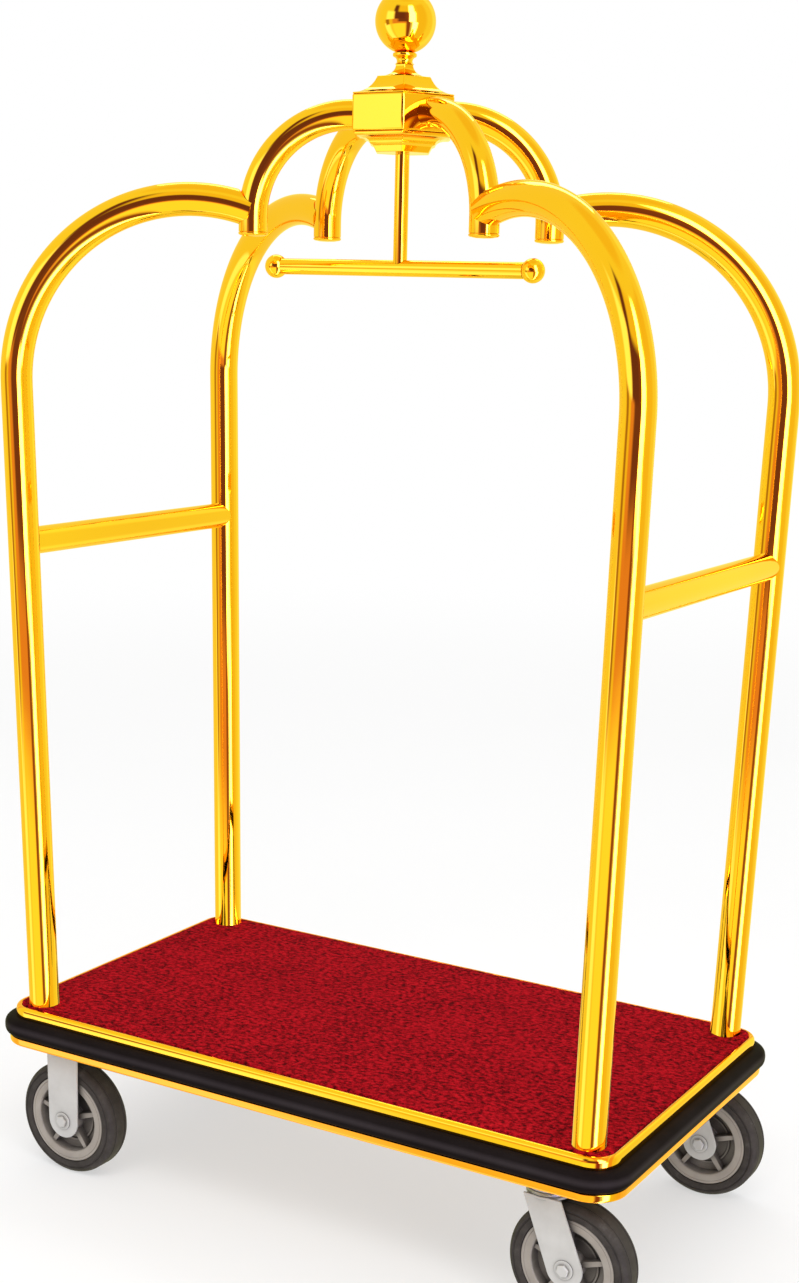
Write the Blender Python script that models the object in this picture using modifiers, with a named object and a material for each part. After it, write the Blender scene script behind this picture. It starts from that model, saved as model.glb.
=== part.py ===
"""Hotel luggage cart with a birdcage frame, a carpeted deck, two fixed and two swivel casters.

Metres, +Z up, +X towards the swivel casters, origin on the floor under the middle of the deck.
"""

import math

import bmesh
import bpy
from mathutils import Matrix, Vector

# Deck, from the floor up.
DECK_HALF_X = 0.575
DECK_HALF_Y = 0.314
DECK_CORNER = 0.045
TRIM_WIDTH = 0.010
UNDERFRAME_Z = (0.2300, 0.2700)
BOARD_Z = (0.2703, 0.2923)
CARPET_Z = (0.2926, 0.2985)
LOWER_TRIM_Z = (0.2300, 0.2435)
BUMPER_Z = (0.2438, 0.2767)
UPPER_TRIM_Z = (0.2770, 0.2960)
BUMPER_PROUD = 0.020
LOWER_TRIM_PROUD = 0.012
RAIL_WIDTH = 0.030
END_BOX_INNER_X = 0.375
MIDDLE_MEMBER_X = 0.130

# Birdcage. Each post stands in the upright plane through its corner and the middle of the cart.
POST_RADIUS = 0.0254
POST_X = 0.523
POST_Y = 0.272
POST_SPLAY = 0.020
POST_FOOT_Z = 0.2710
POST_ARC_Z = 1.350
POST_ARC_RADIUS = 0.2847
CROWN_RADIUS = 0.0225
CROWN_LEG_REACH = 0.2311
CROWN_AXIS_Z = 1.770
CROWN_LEG_END_Z = 1.594
HUB_APOTHEM = 0.0770
HUB_HALF_HEIGHT = 0.0265
CROSSBAR_RADIUS = 0.0225
CROSSBAR_Z = 1.098

# Finial, drop rod and hanger bar.
FINIAL_BALL_RADIUS = 0.0465
FINIAL_BALL_Z = 1.9054
HANGER_BAR_Z = 1.5445
HANGER_BAR_RADIUS = 0.0125
HANGER_ROD_RADIUS = 0.0110
HANGER_BALL_RADIUS = 0.0185
HANGER_BALL_X = 0.2332

# Casters: 200 mm wheels, so the axles stand at the wheel's radius.
WHEEL_RADIUS = 0.100
WHEEL_SIDES = 28
HALF_FACET = math.pi / WHEEL_SIDES
FLAT_DOWN = math.pi / 2 + HALF_FACET
TYRE_HALF_WIDTH = 0.025
TYRE_INNER_RADIUS = 0.078
FIXED_X = -0.463
SWIVEL_X = 0.460
SWIVEL_TRAIL = 0.045
CASTER_Y = 0.266
AXLE_Z = WHEEL_RADIUS
PLATE_Z = (0.2255, 0.2297)
PLATE_HALF = (0.049, 0.042)
PLATE_BOLT_OFFSET = (0.0405, 0.030)
FORK_TOP_Z = (0.2045, 0.2092)
FORK_INNER_Y = 0.030
FORK_WALL = 0.004
AXLE_RADIUS = 0.006
AXLE_HEAD_RADIUS = 0.010
AXLE_HEAD_HEIGHT = 0.007
AXLE_NUT_HEIGHT = 0.010
FIXED_LEG_HALF_WIDTH = 0.033
FIXED_LEG_END_RADIUS = 0.031
SWIVEL_LEG_HALF_WIDTH = 0.031
SWIVEL_LEG_END_RADIUS = 0.030
DISH_Z = 0.2160
RACE_Z = (0.2096, 0.2154)
KINGPIN_RADIUS = 0.0070
KINGPIN_TOP_Z = 0.2218
KINGPIN_HEAD_Z = 0.2042
BUSH_RADIUS = 0.0130
BUSH_BORE = 0.0066
BUSH_HALF_LENGTH = 0.0285
RIB_HALF_WIDTH = 0.0042
RIB_REACH = 0.0165

# Bolts: M12 up into the posts' feet, and the heads of the caster plates' bolts.
POST_BOLT_RADIUS = 0.0060
POST_BOLT_HOLE = 0.0068
POST_BOLT_HEAD = 0.0088
PLATE_BOLT_HEAD = 0.0072

GAP = 0.0003
CORNERS = {
    "front_left": (-1, -1),
    "front_right": (1, -1),
    "back_left": (-1, 1),
    "back_right": (1, 1),
}
REACH = math.hypot(POST_X, POST_Y)

GOLD = (1.0, 0.62, 0.10)
BLACK_RUBBER = (0.03, 0.028, 0.028)
TYRE_RUBBER = (0.07, 0.065, 0.06)
ZINC = (0.66, 0.65, 0.62)
WHEEL_GREY = (0.30, 0.28, 0.26)
STEEL = (0.45, 0.45, 0.46)
CARPET_RED = (0.45, 0.01, 0.02)
PLYWOOD = (0.55, 0.38, 0.22)


def clear_scene():
    for old in list(bpy.data.objects):
        bpy.data.objects.remove(old)


def new_collection(name):
    collection = bpy.data.collections.new(name)
    bpy.context.scene.collection.children.link(collection)
    return collection


def finish(obj, colour, roughness, metallic=0.0):
    """Gives a part its own material and shades its round faces smooth."""
    material = bpy.data.materials.new(obj.name)
    material.use_nodes = True
    shader = material.node_tree.nodes["Principled BSDF"]
    shader.inputs["Base Color"].default_value = (*colour, 1.0)
    shader.inputs["Roughness"].default_value = roughness
    shader.inputs["Metallic"].default_value = metallic
    obj.data.materials.clear()
    obj.data.materials.append(material)
    if obj.type == "MESH":
        obj.data.shade_smooth()
        obj.data.set_sharp_from_angle(angle=math.radians(40))
    return obj


def mesh_object(name, fill, collection, location=(0, 0, 0)):
    """A new object whose mesh the function fill(bm) makes."""
    bm = bmesh.new()
    fill(bm)
    mesh = bpy.data.meshes.new(name)
    bm.to_mesh(mesh)
    bm.free()
    obj = bpy.data.objects.new(name, mesh)
    obj.location = location
    collection.objects.link(obj)
    return obj


def box(name, low, high, collection):
    low, high = Vector(low), Vector(high)
    size = Matrix.Diagonal((*(high - low), 1.0))

    def fill(bm):
        bmesh.ops.create_cube(bm, size=1.0, matrix=Matrix.Translation((low + high) / 2) @ size)

    return mesh_object(name, fill, collection)


def cylinder(name, radius, start, end, collection, sides=24):
    """A closed cylinder from the point start to the point end."""
    start, end = Vector(start), Vector(end)
    turn = (end - start).to_track_quat("Z", "Y").to_matrix().to_4x4()

    def fill(bm):
        bmesh.ops.create_cone(
            bm,
            cap_ends=True,
            segments=sides,
            radius1=radius,
            radius2=radius,
            depth=(end - start).length,
            matrix=Matrix.Translation((start + end) / 2) @ turn,
        )

    return mesh_object(name, fill, collection)


def turned(name, profile, steps, collection, location=(0, 0, 0), closed=False, sides_turn=0.0):
    """A solid turned about Z from (radius, height) points, given down its outer side."""

    def fill(bm):
        points = [bm.verts.new((radius, 0.0, height)) for radius, height in profile]
        pairs = list(zip(points, points[1:]))
        if closed:
            pairs.append((points[-1], points[0]))
        for pair in pairs:
            bm.edges.new(pair)
        bmesh.ops.rotate(bm, cent=(0, 0, 0), matrix=Matrix.Rotation(sides_turn, 3, "Z"), verts=points)

    obj = mesh_object(name, fill, collection, location)
    screw = obj.modifiers.new("Turn", "SCREW")
    screw.steps = steps
    screw.render_steps = steps
    screw.use_merge_vertices = True
    screw.merge_threshold = 0.0001
    return obj


def make_mesh(obj, collection):
    """Replaces an object by its evaluated mesh, in world space, with its loose ends welded."""
    bpy.context.view_layer.update()
    evaluated = obj.evaluated_get(bpy.context.evaluated_depsgraph_get())
    mesh = bpy.data.meshes.new_from_object(evaluated)
    mesh.transform(obj.matrix_world)
    bm = bmesh.new()
    bm.from_mesh(mesh)
    bmesh.ops.remove_doubles(bm, verts=bm.verts, dist=0.00001)
    bmesh.ops.recalc_face_normals(bm, faces=bm.faces)
    bm.to_mesh(mesh)
    bm.free()
    name = obj.name
    bpy.data.objects.remove(obj)
    solid = bpy.data.objects.new(name, mesh)
    collection.objects.link(solid)
    return solid


def tube(name, points, radius, collection, roundness=6):
    """A tube with closed ends along a chain of points, with 4 + 2 * roundness sides."""
    curve = bpy.data.curves.new(name, "CURVE")
    curve.dimensions = "3D"
    curve.twist_mode = "MINIMUM"
    curve.bevel_depth = radius
    curve.bevel_resolution = roundness
    curve.use_fill_caps = True
    spline = curve.splines.new("POLY")
    spline.points.add(len(points) - 1)
    for spot, place in zip(spline.points, points):
        spot.co = (*place, 1.0)
    obj = bpy.data.objects.new(name, curve)
    collection.objects.link(obj)
    return make_mesh(obj, collection)


def rounded_rectangle(half_x, half_y, corner, steps=6):
    """The outline's points, anticlockwise from the middle of the right side's upper corner."""
    points = []
    for index, (sx, sy) in enumerate(((1, 1), (-1, 1), (-1, -1), (1, -1))):
        for step in range(steps + 1):
            angle = math.radians(90 * index + 90 * step / steps)
            x = sx * (half_x - corner) + corner * math.cos(angle)
            y = sy * (half_y - corner) + corner * math.sin(angle)
            points.append((x, y))
    return points


def flat_outline(name, outlines, low, high, collection):
    """A slab from the height low to high. The second and later outlines are holes in it."""
    curve = bpy.data.curves.new(name, "CURVE")
    curve.dimensions = "2D"
    curve.fill_mode = "BOTH"
    curve.extrude = (high - low) / 2
    for outline in outlines:
        spline = curve.splines.new("POLY")
        spline.points.add(len(outline) - 1)
        spline.use_cyclic_u = True
        for spot, place in zip(spline.points, outline):
            spot.co = (*place, 0.0, 1.0)
    obj = bpy.data.objects.new(name, curve)
    obj.location.z = (low + high) / 2
    collection.objects.link(obj)
    return make_mesh(obj, collection)


def rim_strip(name, section, low, collection):
    """A strip round the deck's edge. Its section is (outward, upward) points from the deck's side."""
    path = bpy.data.curves.new(name, "CURVE")
    path.dimensions = "2D"
    path.fill_mode = "NONE"
    spline = path.splines.new("POLY")
    outline = rounded_rectangle(DECK_HALF_X, DECK_HALF_Y, DECK_CORNER)
    spline.points.add(len(outline) - 1)
    spline.use_cyclic_u = True
    for spot, place in zip(spline.points, outline):
        spot.co = (*place, 0.0, 1.0)
    shape = bpy.data.curves.new(name + "_section", "CURVE")
    shape.dimensions = "2D"
    shape.fill_mode = "NONE"
    ring = shape.splines.new("POLY")
    ring.points.add(len(section) - 1)
    ring.use_cyclic_u = True
    for spot, (outward, upward) in zip(ring.points, section):
        spot.co = (-outward, upward, 0.0, 1.0)
    shape_object = bpy.data.objects.new(name + "_section", shape)
    collection.objects.link(shape_object)
    path.bevel_mode = "OBJECT"
    path.bevel_object = shape_object
    obj = bpy.data.objects.new(name, path)
    obj.location.z = low
    collection.objects.link(obj)
    strip = make_mesh(obj, collection)
    bpy.data.objects.remove(shape_object)
    return strip


def boolean(obj, other, operation):
    """Cuts obj by other, or joins them, with other kept as a hidden helper."""
    modifier = obj.modifiers.new(other.name, "BOOLEAN")
    modifier.operation = operation
    modifier.solver = "EXACT"
    modifier.object = other
    other.hide_render = True
    other.display_type = "WIRE"


def radial(corner, reach, height):
    """The point at a horizontal reach from the middle, in a corner's upright plane."""
    sx, sy = CORNERS[corner]
    return Vector((sx * POST_X / REACH * reach, sy * POST_Y / REACH * reach, height))


def post_reach(height):
    """How far a post's straight stretch stands from the middle at a height."""
    return REACH + POST_SPLAY * (height - UPPER_TRIM_Z[1])


def post_centreline(corner):
    """Straight up with a slight splay, then an arc over the top and down to the crown leg."""
    splay = math.atan(POST_SPLAY)
    centre = post_reach(POST_ARC_Z) - POST_ARC_RADIUS * math.cos(splay)
    end = math.pi / 2 + math.asin((centre - CROWN_LEG_REACH - 0.003) / POST_ARC_RADIUS)
    steps = 15
    bottom = POST_FOOT_Z
    points = [radial(corner, post_reach(bottom), bottom)]
    for step in range(steps + 1):
        angle = -splay + (end + splay) * step / steps
        reach = centre + POST_ARC_RADIUS * math.cos(angle)
        height = POST_ARC_Z + POST_ARC_RADIUS * (math.sin(angle) + math.sin(splay))
        points.append(radial(corner, reach, height))
    return points


def make_posts(parts, cutters):
    for corner in CORNERS:
        post = tube(f"post_{corner}", post_centreline(corner), POST_RADIUS, parts)
        foot = CROWN_LEG_END_Z - 0.05
        leg = cylinder(
            f"cut_leg_{corner}",
            CROWN_RADIUS + GAP,
            radial(corner, CROWN_LEG_REACH, foot),
            radial(corner, CROWN_LEG_REACH, foot + 0.2),
            cutters,
            32,
        )
        boolean(post, leg, "DIFFERENCE")
        bottom = radial(corner, post_reach(POST_FOOT_Z), POST_FOOT_Z)
        plug = cylinder(
            f"cut_plug_{corner}",
            POST_BOLT_HOLE,
            bottom - Vector((0, 0, 0.01)),
            bottom + Vector((0, 0, 0.032)),
            cutters,
            12,
        )
        boolean(post, plug, "DIFFERENCE")
        finish(post, GOLD, 0.08, 1.0)


def hexagonal(name, levels, collection):
    """A hexagonal solid from (apothem, height) levels, top first, with a flat face to the front."""
    profile = [(apothem / math.cos(math.radians(30)), height) for apothem, height in levels]
    return turned(name, [(0, levels[0][1])] + profile + [(0, levels[-1][1])], 6, collection)


def make_crown(parts, cutters):
    """Four quarter bends from the hub down to the posts' ends, each coped to its face of the hub."""
    low, high = CROWN_AXIS_Z - 0.05, CROWN_AXIS_Z + 0.05
    hub = hexagonal("cut_hub", [(HUB_APOTHEM + GAP, high), (HUB_APOTHEM + GAP, low)], cutters)
    bend = CROWN_LEG_REACH - HUB_APOTHEM
    for corner in CORNERS:
        points = [radial(corner, HUB_APOTHEM - 0.01, CROWN_AXIS_Z)]
        for step in range(11):
            angle = math.radians(90 * step / 10)
            reach = HUB_APOTHEM + bend * math.sin(angle)
            height = CROWN_AXIS_Z - bend + bend * math.cos(angle)
            points.append(radial(corner, reach, height))
        points.append(radial(corner, CROWN_LEG_REACH, CROWN_LEG_END_Z))
        arch = tube(f"crown_arch_{corner}", points, CROWN_RADIUS, parts)
        boolean(arch, hub, "DIFFERENCE")
        finish(arch, GOLD, 0.08, 1.0)


def hollow_levels(start, end, first=0, last=90, count=6):
    """Levels down a hollow, from one (apothem, height) out to the wider, lower one.

    The hollow is a part of a quarter turn: from the angle first, 0 being upright, to the angle last.
    """
    begin, finish_angle = math.radians(first), math.radians(last)
    levels = []
    for step in range(count + 1):
        angle = begin + (finish_angle - begin) * step / count
        out = (math.cos(begin) - math.cos(angle)) / (math.cos(begin) - math.cos(finish_angle))
        down = (math.sin(angle) - math.sin(begin)) / (math.sin(finish_angle) - math.sin(begin))
        levels.append((start[0] + (end[0] - start[0]) * out, start[1] + (end[1] - start[1]) * down))
    return levels


def make_hub(parts):
    """The hexagonal block, its two-tier roof and its stepped base."""
    top, bottom = CROWN_AXIS_Z + HUB_HALF_HEIGHT, CROWN_AXIS_Z - HUB_HALF_HEIGHT
    hub = hexagonal("crown_hub", [(HUB_APOTHEM, top), (HUB_APOTHEM, bottom)], parts)
    finish(hub, GOLD, 0.12, 1.0)

    rim = top + GAP
    roof = hollow_levels((0.0130, rim + 0.0470), (0.0380, rim + 0.0282))
    roof += [(0.0402, rim + 0.0278), (0.0410, rim + 0.0262)]
    roof += hollow_levels((0.0422, rim + 0.0240), (0.0740, rim + 0.0022), 28, 84)
    roof += [(0.0766, rim + 0.0014), (0.0766, rim)]
    finish(hexagonal("hub_roof", roof, parts), GOLD, 0.12, 1.0)

    soffit = bottom - GAP
    base = [(0.0720, soffit), (0.0735, soffit - 0.0010), (0.0735, soffit - 0.0045)]
    base += [(0.0705, soffit - 0.0060)]
    base += [(0.0590, soffit - 0.0090), (0.0500, soffit - 0.0160), (0.0470, soffit - 0.0175)]
    base += [(0.0450, soffit - 0.0185), (0.0400, soffit - 0.0280)]
    finish(hexagonal("hub_base", base, parts), GOLD, 0.12, 1.0)
    return roof[0][1], base[-1][1]


def ball_profile(radius, top, bottom, count):
    """Points down a ball's side between its flats at the heights top and bottom."""
    first, last = math.acos(top / radius), math.acos(bottom / radius)
    points = []
    for step in range(count + 1):
        angle = first + (last - first) * step / count
        points.append((radius * math.sin(angle), radius * math.cos(angle)))
    return points


def make_finial(parts, neck_bottom):
    flat = -FINIAL_BALL_RADIUS * 0.955
    neck_top = FINIAL_BALL_Z + flat - GAP
    neck = turned(
        "finial_neck",
        [(0, neck_top), (0.0135, neck_top), (0.0178, neck_top - 0.0015), (0.0180, neck_top - 0.0055),
         (0.0145, neck_top - 0.0075), (0.0122, neck_top - 0.0110), (0.0130, neck_bottom + 0.0030),
         (0.0150, neck_bottom + GAP), (0, neck_bottom + GAP)],
        24,
        parts,
    )
    finish(neck, GOLD, 0.10, 1.0)
    profile = [(0, FINIAL_BALL_RADIUS)]
    profile += ball_profile(FINIAL_BALL_RADIUS, FINIAL_BALL_RADIUS * 0.97, flat, 11)
    ball = turned("finial_ball", profile + [(0, flat)], 24, parts, (0, 0, FINIAL_BALL_Z))
    finish(ball, GOLD, 0.05, 1.0)


def make_hanger(parts, cutters, rod_top):
    rod = cylinder("hanger_rod", HANGER_ROD_RADIUS, (0, 0, HANGER_BAR_Z), (0, 0, rod_top - GAP), parts)
    saddle = cylinder(
        "cut_rod_saddle",
        HANGER_BAR_RADIUS + GAP,
        (-0.05, 0, HANGER_BAR_Z),
        (0.05, 0, HANGER_BAR_Z),
        cutters,
        32,
    )
    boolean(rod, saddle, "DIFFERENCE")
    finish(rod, GOLD, 0.10, 1.0)
    seat = math.sqrt(HANGER_BALL_RADIUS**2 - HANGER_BAR_RADIUS**2)
    bar_end = HANGER_BALL_X - seat - GAP
    bar = cylinder(
        "hanger_bar",
        HANGER_BAR_RADIUS,
        (-bar_end, 0, HANGER_BAR_Z),
        (bar_end, 0, HANGER_BAR_Z),
        parts,
        20,
    )
    finish(bar, GOLD, 0.10, 1.0)
    profile = [(0, HANGER_BALL_RADIUS)]
    profile += ball_profile(HANGER_BALL_RADIUS, HANGER_BALL_RADIUS * 0.93, -seat, 8)
    for side, sign in (("left", -1), ("right", 1)):
        centre = (sign * HANGER_BALL_X, 0, HANGER_BAR_Z)
        ball = turned(f"hanger_ball_{side}", profile + [(0, -seat)], 20, parts, centre)
        ball.rotation_euler = (0, sign * math.pi / 2, 0)
        finish(ball, GOLD, 0.08, 1.0)


def make_crossbars(parts, cutters):
    for side, sign in (("left", -1), ("right", 1)):
        corners = (f"front_{side}", f"back_{side}")
        ends = [radial(corner, post_reach(CROSSBAR_Z), CROSSBAR_Z) for corner in corners]
        bar = cylinder(f"crossbar_{side}", CROSSBAR_RADIUS, ends[0], ends[1], parts, 20)
        for corner in corners:
            low, high = CROSSBAR_Z - 0.08, CROSSBAR_Z + 0.08
            post = cylinder(
                f"cut_post_{corner}",
                POST_RADIUS + GAP,
                radial(corner, post_reach(low), low),
                radial(corner, post_reach(high), high),
                cutters,
                36,
            )
            boolean(bar, post, "DIFFERENCE")
        finish(bar, GOLD, 0.08, 1.0)


def cut_post_holes(slab, low, high, radius, cutters):
    for corner in CORNERS:
        middle = (low + high) / 2
        place = radial(corner, post_reach(middle), 0)
        hole = cylinder(
            f"cut_{slab.name}_{corner}",
            radius,
            (place.x, place.y, low - 0.01),
            (place.x, place.y, high + 0.01),
            cutters,
        )
        boolean(slab, hole, "DIFFERENCE")


def make_deck(parts, cutters):
    inner = (DECK_HALF_X - TRIM_WIDTH - GAP, DECK_HALF_Y - TRIM_WIDTH - GAP, DECK_CORNER - TRIM_WIDTH)
    outline = rounded_rectangle(*inner)
    carpet = flat_outline("carpet", [outline], *CARPET_Z, parts)
    cut_post_holes(carpet, *CARPET_Z, POST_RADIUS + 0.0006, cutters)
    finish(carpet, CARPET_RED, 0.95)
    board = flat_outline("deck_board", [outline], *BOARD_Z, parts)
    cut_post_holes(board, *BOARD_Z, POST_RADIUS + 0.0010, cutters)
    finish(board, PLYWOOD, 0.8)

    frame = flat_outline("underframe", [outline], *UNDERFRAME_Z, parts)
    rail = inner[1] - RAIL_WIDTH
    half = RAIL_WIDTH / 2
    bays = (
        (-END_BOX_INNER_X, -MIDDLE_MEMBER_X - half),
        (-MIDDLE_MEMBER_X + half, MIDDLE_MEMBER_X - half),
        (MIDDLE_MEMBER_X + half, END_BOX_INNER_X),
    )
    low, high = UNDERFRAME_Z[0] - 0.01, UNDERFRAME_Z[1] + 0.01
    for index, (start, end) in enumerate(bays):
        bay = box(f"cut_bay_{index}", (start, -rail, low), (end, rail, high), cutters)
        boolean(frame, bay, "DIFFERENCE")
    for corner in CORNERS:
        place = radial(corner, post_reach(POST_FOOT_Z), 0)
        start, end = (place.x, place.y, low), (place.x, place.y, high)
        hole = cylinder(f"cut_bolt_{corner}", POST_BOLT_HOLE, start, end, cutters, 12)
        boolean(frame, hole, "DIFFERENCE")
    finish(frame, STEEL, 0.45, 0.6)

    width = TRIM_WIDTH
    tall = UPPER_TRIM_Z[1] - UPPER_TRIM_Z[0]
    upper = [(-width, 0), (0, 0), (0, tall - 0.006), (-0.0015, tall - 0.002), (-0.005, tall)]
    upper += [(-width, tall - 0.0005)]
    finish(rim_strip("deck_trim_upper", upper, UPPER_TRIM_Z[0], parts), GOLD, 0.12, 1.0)
    tall = LOWER_TRIM_Z[1] - LOWER_TRIM_Z[0]
    proud = LOWER_TRIM_PROUD
    lower = [(-width, 0), (proud - 0.004, 0), (proud - 0.001, 0.001), (proud, 0.004), (proud, tall)]
    lower += [(-width, tall)]
    finish(rim_strip("deck_trim_lower", lower, LOWER_TRIM_Z[0], parts), GOLD, 0.12, 1.0)
    tall = BUMPER_Z[1] - BUMPER_Z[0]
    proud = BUMPER_PROUD
    bumper = [(-width, 0), (proud * 0.55, 0), (proud * 0.85, tall * 0.10), (proud, tall * 0.30)]
    bumper += [(proud, tall * 0.70), (proud * 0.85, tall * 0.90), (proud * 0.55, tall), (-width, tall)]
    finish(rim_strip("bumper", bumper, BUMPER_Z[0], parts), BLACK_RUBBER, 0.5)


def make_post_bolts(parts, cutters):
    """An M12 bolt from below the underframe up into the foot of each post."""
    for corner in CORNERS:
        foot = radial(corner, post_reach(POST_FOOT_Z), UNDERFRAME_Z[0] - GAP)
        down, up = foot - Vector((0, 0, 0.007)), foot + Vector((0, 0, 0.062))
        bolt = cylinder(f"post_bolt_{corner}", POST_BOLT_HEAD, down, foot, parts, 6)
        inside = foot - Vector((0, 0, 0.003))
        shank = cylinder(f"cut_post_shank_{corner}", POST_BOLT_RADIUS, inside, up, cutters, 10)
        boolean(bolt, shank, "UNION")
        finish(bolt, ZINC, 0.35, 0.9)


def bolted_plate(name, x, y, parts, cutters):
    """A caster's mount plate with the heads of its four bolts, which are joined to it."""
    outline = [(x + px, y + py) for px, py in rounded_rectangle(*PLATE_HALF, 0.008, 3)]
    plate = flat_outline(name, [outline], *PLATE_Z, parts)
    for dx in (-1, 1):
        for dy in (-1, 1):
            place = (x + dx * PLATE_BOLT_OFFSET[0], y + dy * PLATE_BOLT_OFFSET[1])
            head = cylinder(
                f"cut_{name}_{dx}_{dy}",
                PLATE_BOLT_HEAD,
                (*place, PLATE_Z[0] - 0.0060),
                (*place, PLATE_Z[0] + 0.0020),
                cutters,
                6,
            )
            boolean(plate, head, "UNION")
    return plate


def leg_outline(top, half_width, axle_x, end_radius):
    """A fork leg's side view: a straight top edge and a round end about the axle."""
    top_x, top_z = top
    points = [(top_x + half_width, top_z), (top_x - half_width, top_z)]
    tangents = []
    for x, sign in ((top_x - half_width, 1), (top_x + half_width, -1)):
        dx, dz = x - axle_x, top_z - AXLE_Z
        distance = math.hypot(dx, dz)
        tangents.append(math.atan2(dz, dx) + sign * math.acos(end_radius / distance))
    first, last = tangents[0], tangents[1] + 2 * math.pi
    for step in range(11):
        angle = first + (last - first) * step / 10
        points.append((axle_x + end_radius * math.cos(angle), AXLE_Z + end_radius * math.sin(angle)))
    return points


def fork_leg(name, outline, y, parts):
    """One flat leg, standing in the XZ plane with its middle at y."""
    leg = flat_outline(name, [outline], -FORK_WALL / 2, FORK_WALL / 2, parts)
    leg.data.transform(Matrix.Translation((0, y, 0)) @ Matrix.Rotation(math.pi / 2, 4, "X"))
    return leg


def join_fork(fork, outline, axle_x, y, parts, cutters):
    """Adds both legs to a fork's top and drills them for the axle bolt."""
    for side in (-1, 1):
        leg_y = y + side * (FORK_INNER_Y + FORK_WALL / 2)
        leg = fork_leg(f"cut_leg_{fork.name}_{side}", outline, leg_y, cutters)
        boolean(fork, leg, "UNION")
    reach = FORK_INNER_Y + FORK_WALL + 0.01
    hole = cylinder(
        f"cut_axle_{fork.name}",
        AXLE_RADIUS + 0.0005,
        (axle_x, y - reach, AXLE_Z),
        (axle_x, y + reach, AXLE_Z),
        cutters,
        16,
    )
    boolean(fork, hole, "DIFFERENCE")
    return make_mesh(fork, parts)


def make_fixed_fork(corner, x, y, parts, cutters):
    plate = bolted_plate(f"fixed_fork_{corner}", x, y, parts, cutters)
    outline = leg_outline((x, PLATE_Z[1] - 0.001), FIXED_LEG_HALF_WIDTH, x, FIXED_LEG_END_RADIUS)
    finish(join_fork(plate, outline, x, y, parts, cutters), ZINC, 0.4, 0.5)


def make_swivel(corner, x, y, parts, cutters):
    plate = bolted_plate(f"swivel_plate_{corner}", x, y, parts, cutters)
    dish = turned(
        f"cut_dish_{corner}",
        [(0, PLATE_Z[0] + 0.002), (0.030, PLATE_Z[0] + 0.002), (0.0345, DISH_Z + 0.0005),
         (0.0345, DISH_Z), (0, DISH_Z)],
        28,
        cutters,
        (x, y, 0),
    )
    boolean(plate, make_mesh(dish, cutters), "UNION")
    top = KINGPIN_TOP_Z + 0.0004
    pin = cylinder(f"cut_kingpin_{corner}", KINGPIN_RADIUS + 0.0005, (x, y, 0.20), (x, y, top), cutters, 16)
    boolean(plate, pin, "DIFFERENCE")
    finish(make_mesh(plate, parts), ZINC, 0.35, 0.7)

    race = turned(
        f"swivel_race_{corner}",
        [(0.0350, RACE_Z[1]), (0.0368, RACE_Z[1] - 0.0014), (0.0368, RACE_Z[0] + 0.0014),
         (0.0350, RACE_Z[0]), (0.0200, RACE_Z[0]), (0.0200, RACE_Z[1])],
        28,
        parts,
        (x, y, 0),
        closed=True,
    )
    finish(race, STEEL, 0.4, 0.8)

    kingpin = turned(
        f"kingpin_{corner}",
        [(0, KINGPIN_TOP_Z), (KINGPIN_RADIUS, KINGPIN_TOP_Z), (KINGPIN_RADIUS, KINGPIN_HEAD_Z),
         (0.0115, KINGPIN_HEAD_Z), (0.0115, 0.1985), (0.0095, 0.1970), (0, 0.1970)],
        16,
        parts,
        (x, y, 0),
    )
    finish(kingpin, STEEL, 0.4, 0.8)

    axle_x = x + SWIVEL_TRAIL
    head = turned(
        f"swivel_fork_{corner}",
        [(0.0345, FORK_TOP_Z[1]), (0.0360, FORK_TOP_Z[1] - 0.001), (0.0360, FORK_TOP_Z[0]),
         (0.0078, FORK_TOP_Z[0]), (0.0078, FORK_TOP_Z[1])],
        32,
        parts,
        (x, y, 0),
        closed=True,
    )
    outline = leg_outline(
        (x + 0.003, FORK_TOP_Z[1] - 0.001), SWIVEL_LEG_HALF_WIDTH, axle_x, SWIVEL_LEG_END_RADIUS
    )
    finish(join_fork(make_mesh(head, parts), outline, axle_x, y, parts, cutters), ZINC, 0.4, 0.5)
    return axle_x


def wheel_core_mesh(parts, cutters):
    """Rim, web and hub in one turned ring, with five ribs on each side of the web."""
    rim, web, hub, bore = TYRE_INNER_RADIUS - GAP, 0.0600, 0.0210, 0.0134
    half, web_half, hub_half = 0.0235, 0.0040, 0.0280
    core = turned(
        "core_pattern",
        [(rim, half), (rim, -half), (web, -half), (web - 0.002, -web_half), (hub + 0.002, -web_half),
         (hub, -hub_half), (bore, -hub_half), (bore, hub_half), (hub, hub_half), (hub + 0.002, web_half),
         (web - 0.002, web_half), (web, half)],
        WHEEL_SIDES,
        parts,
        closed=True,
        sides_turn=FLAT_DOWN,
    )
    core = make_mesh(core, parts)
    for index in range(5):
        turn = Matrix.Rotation(math.radians(72 * index + 19), 4, "Z")
        low, high = (hub - 0.002, -RIB_HALF_WIDTH, -RIB_REACH), (web + 0.003, RIB_HALF_WIDTH, RIB_REACH)
        rib = box(f"cut_rib_{index}", low, high, cutters)
        rib.data.transform(turn)
        boolean(core, rib, "UNION")
    return make_mesh(core, parts)


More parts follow.
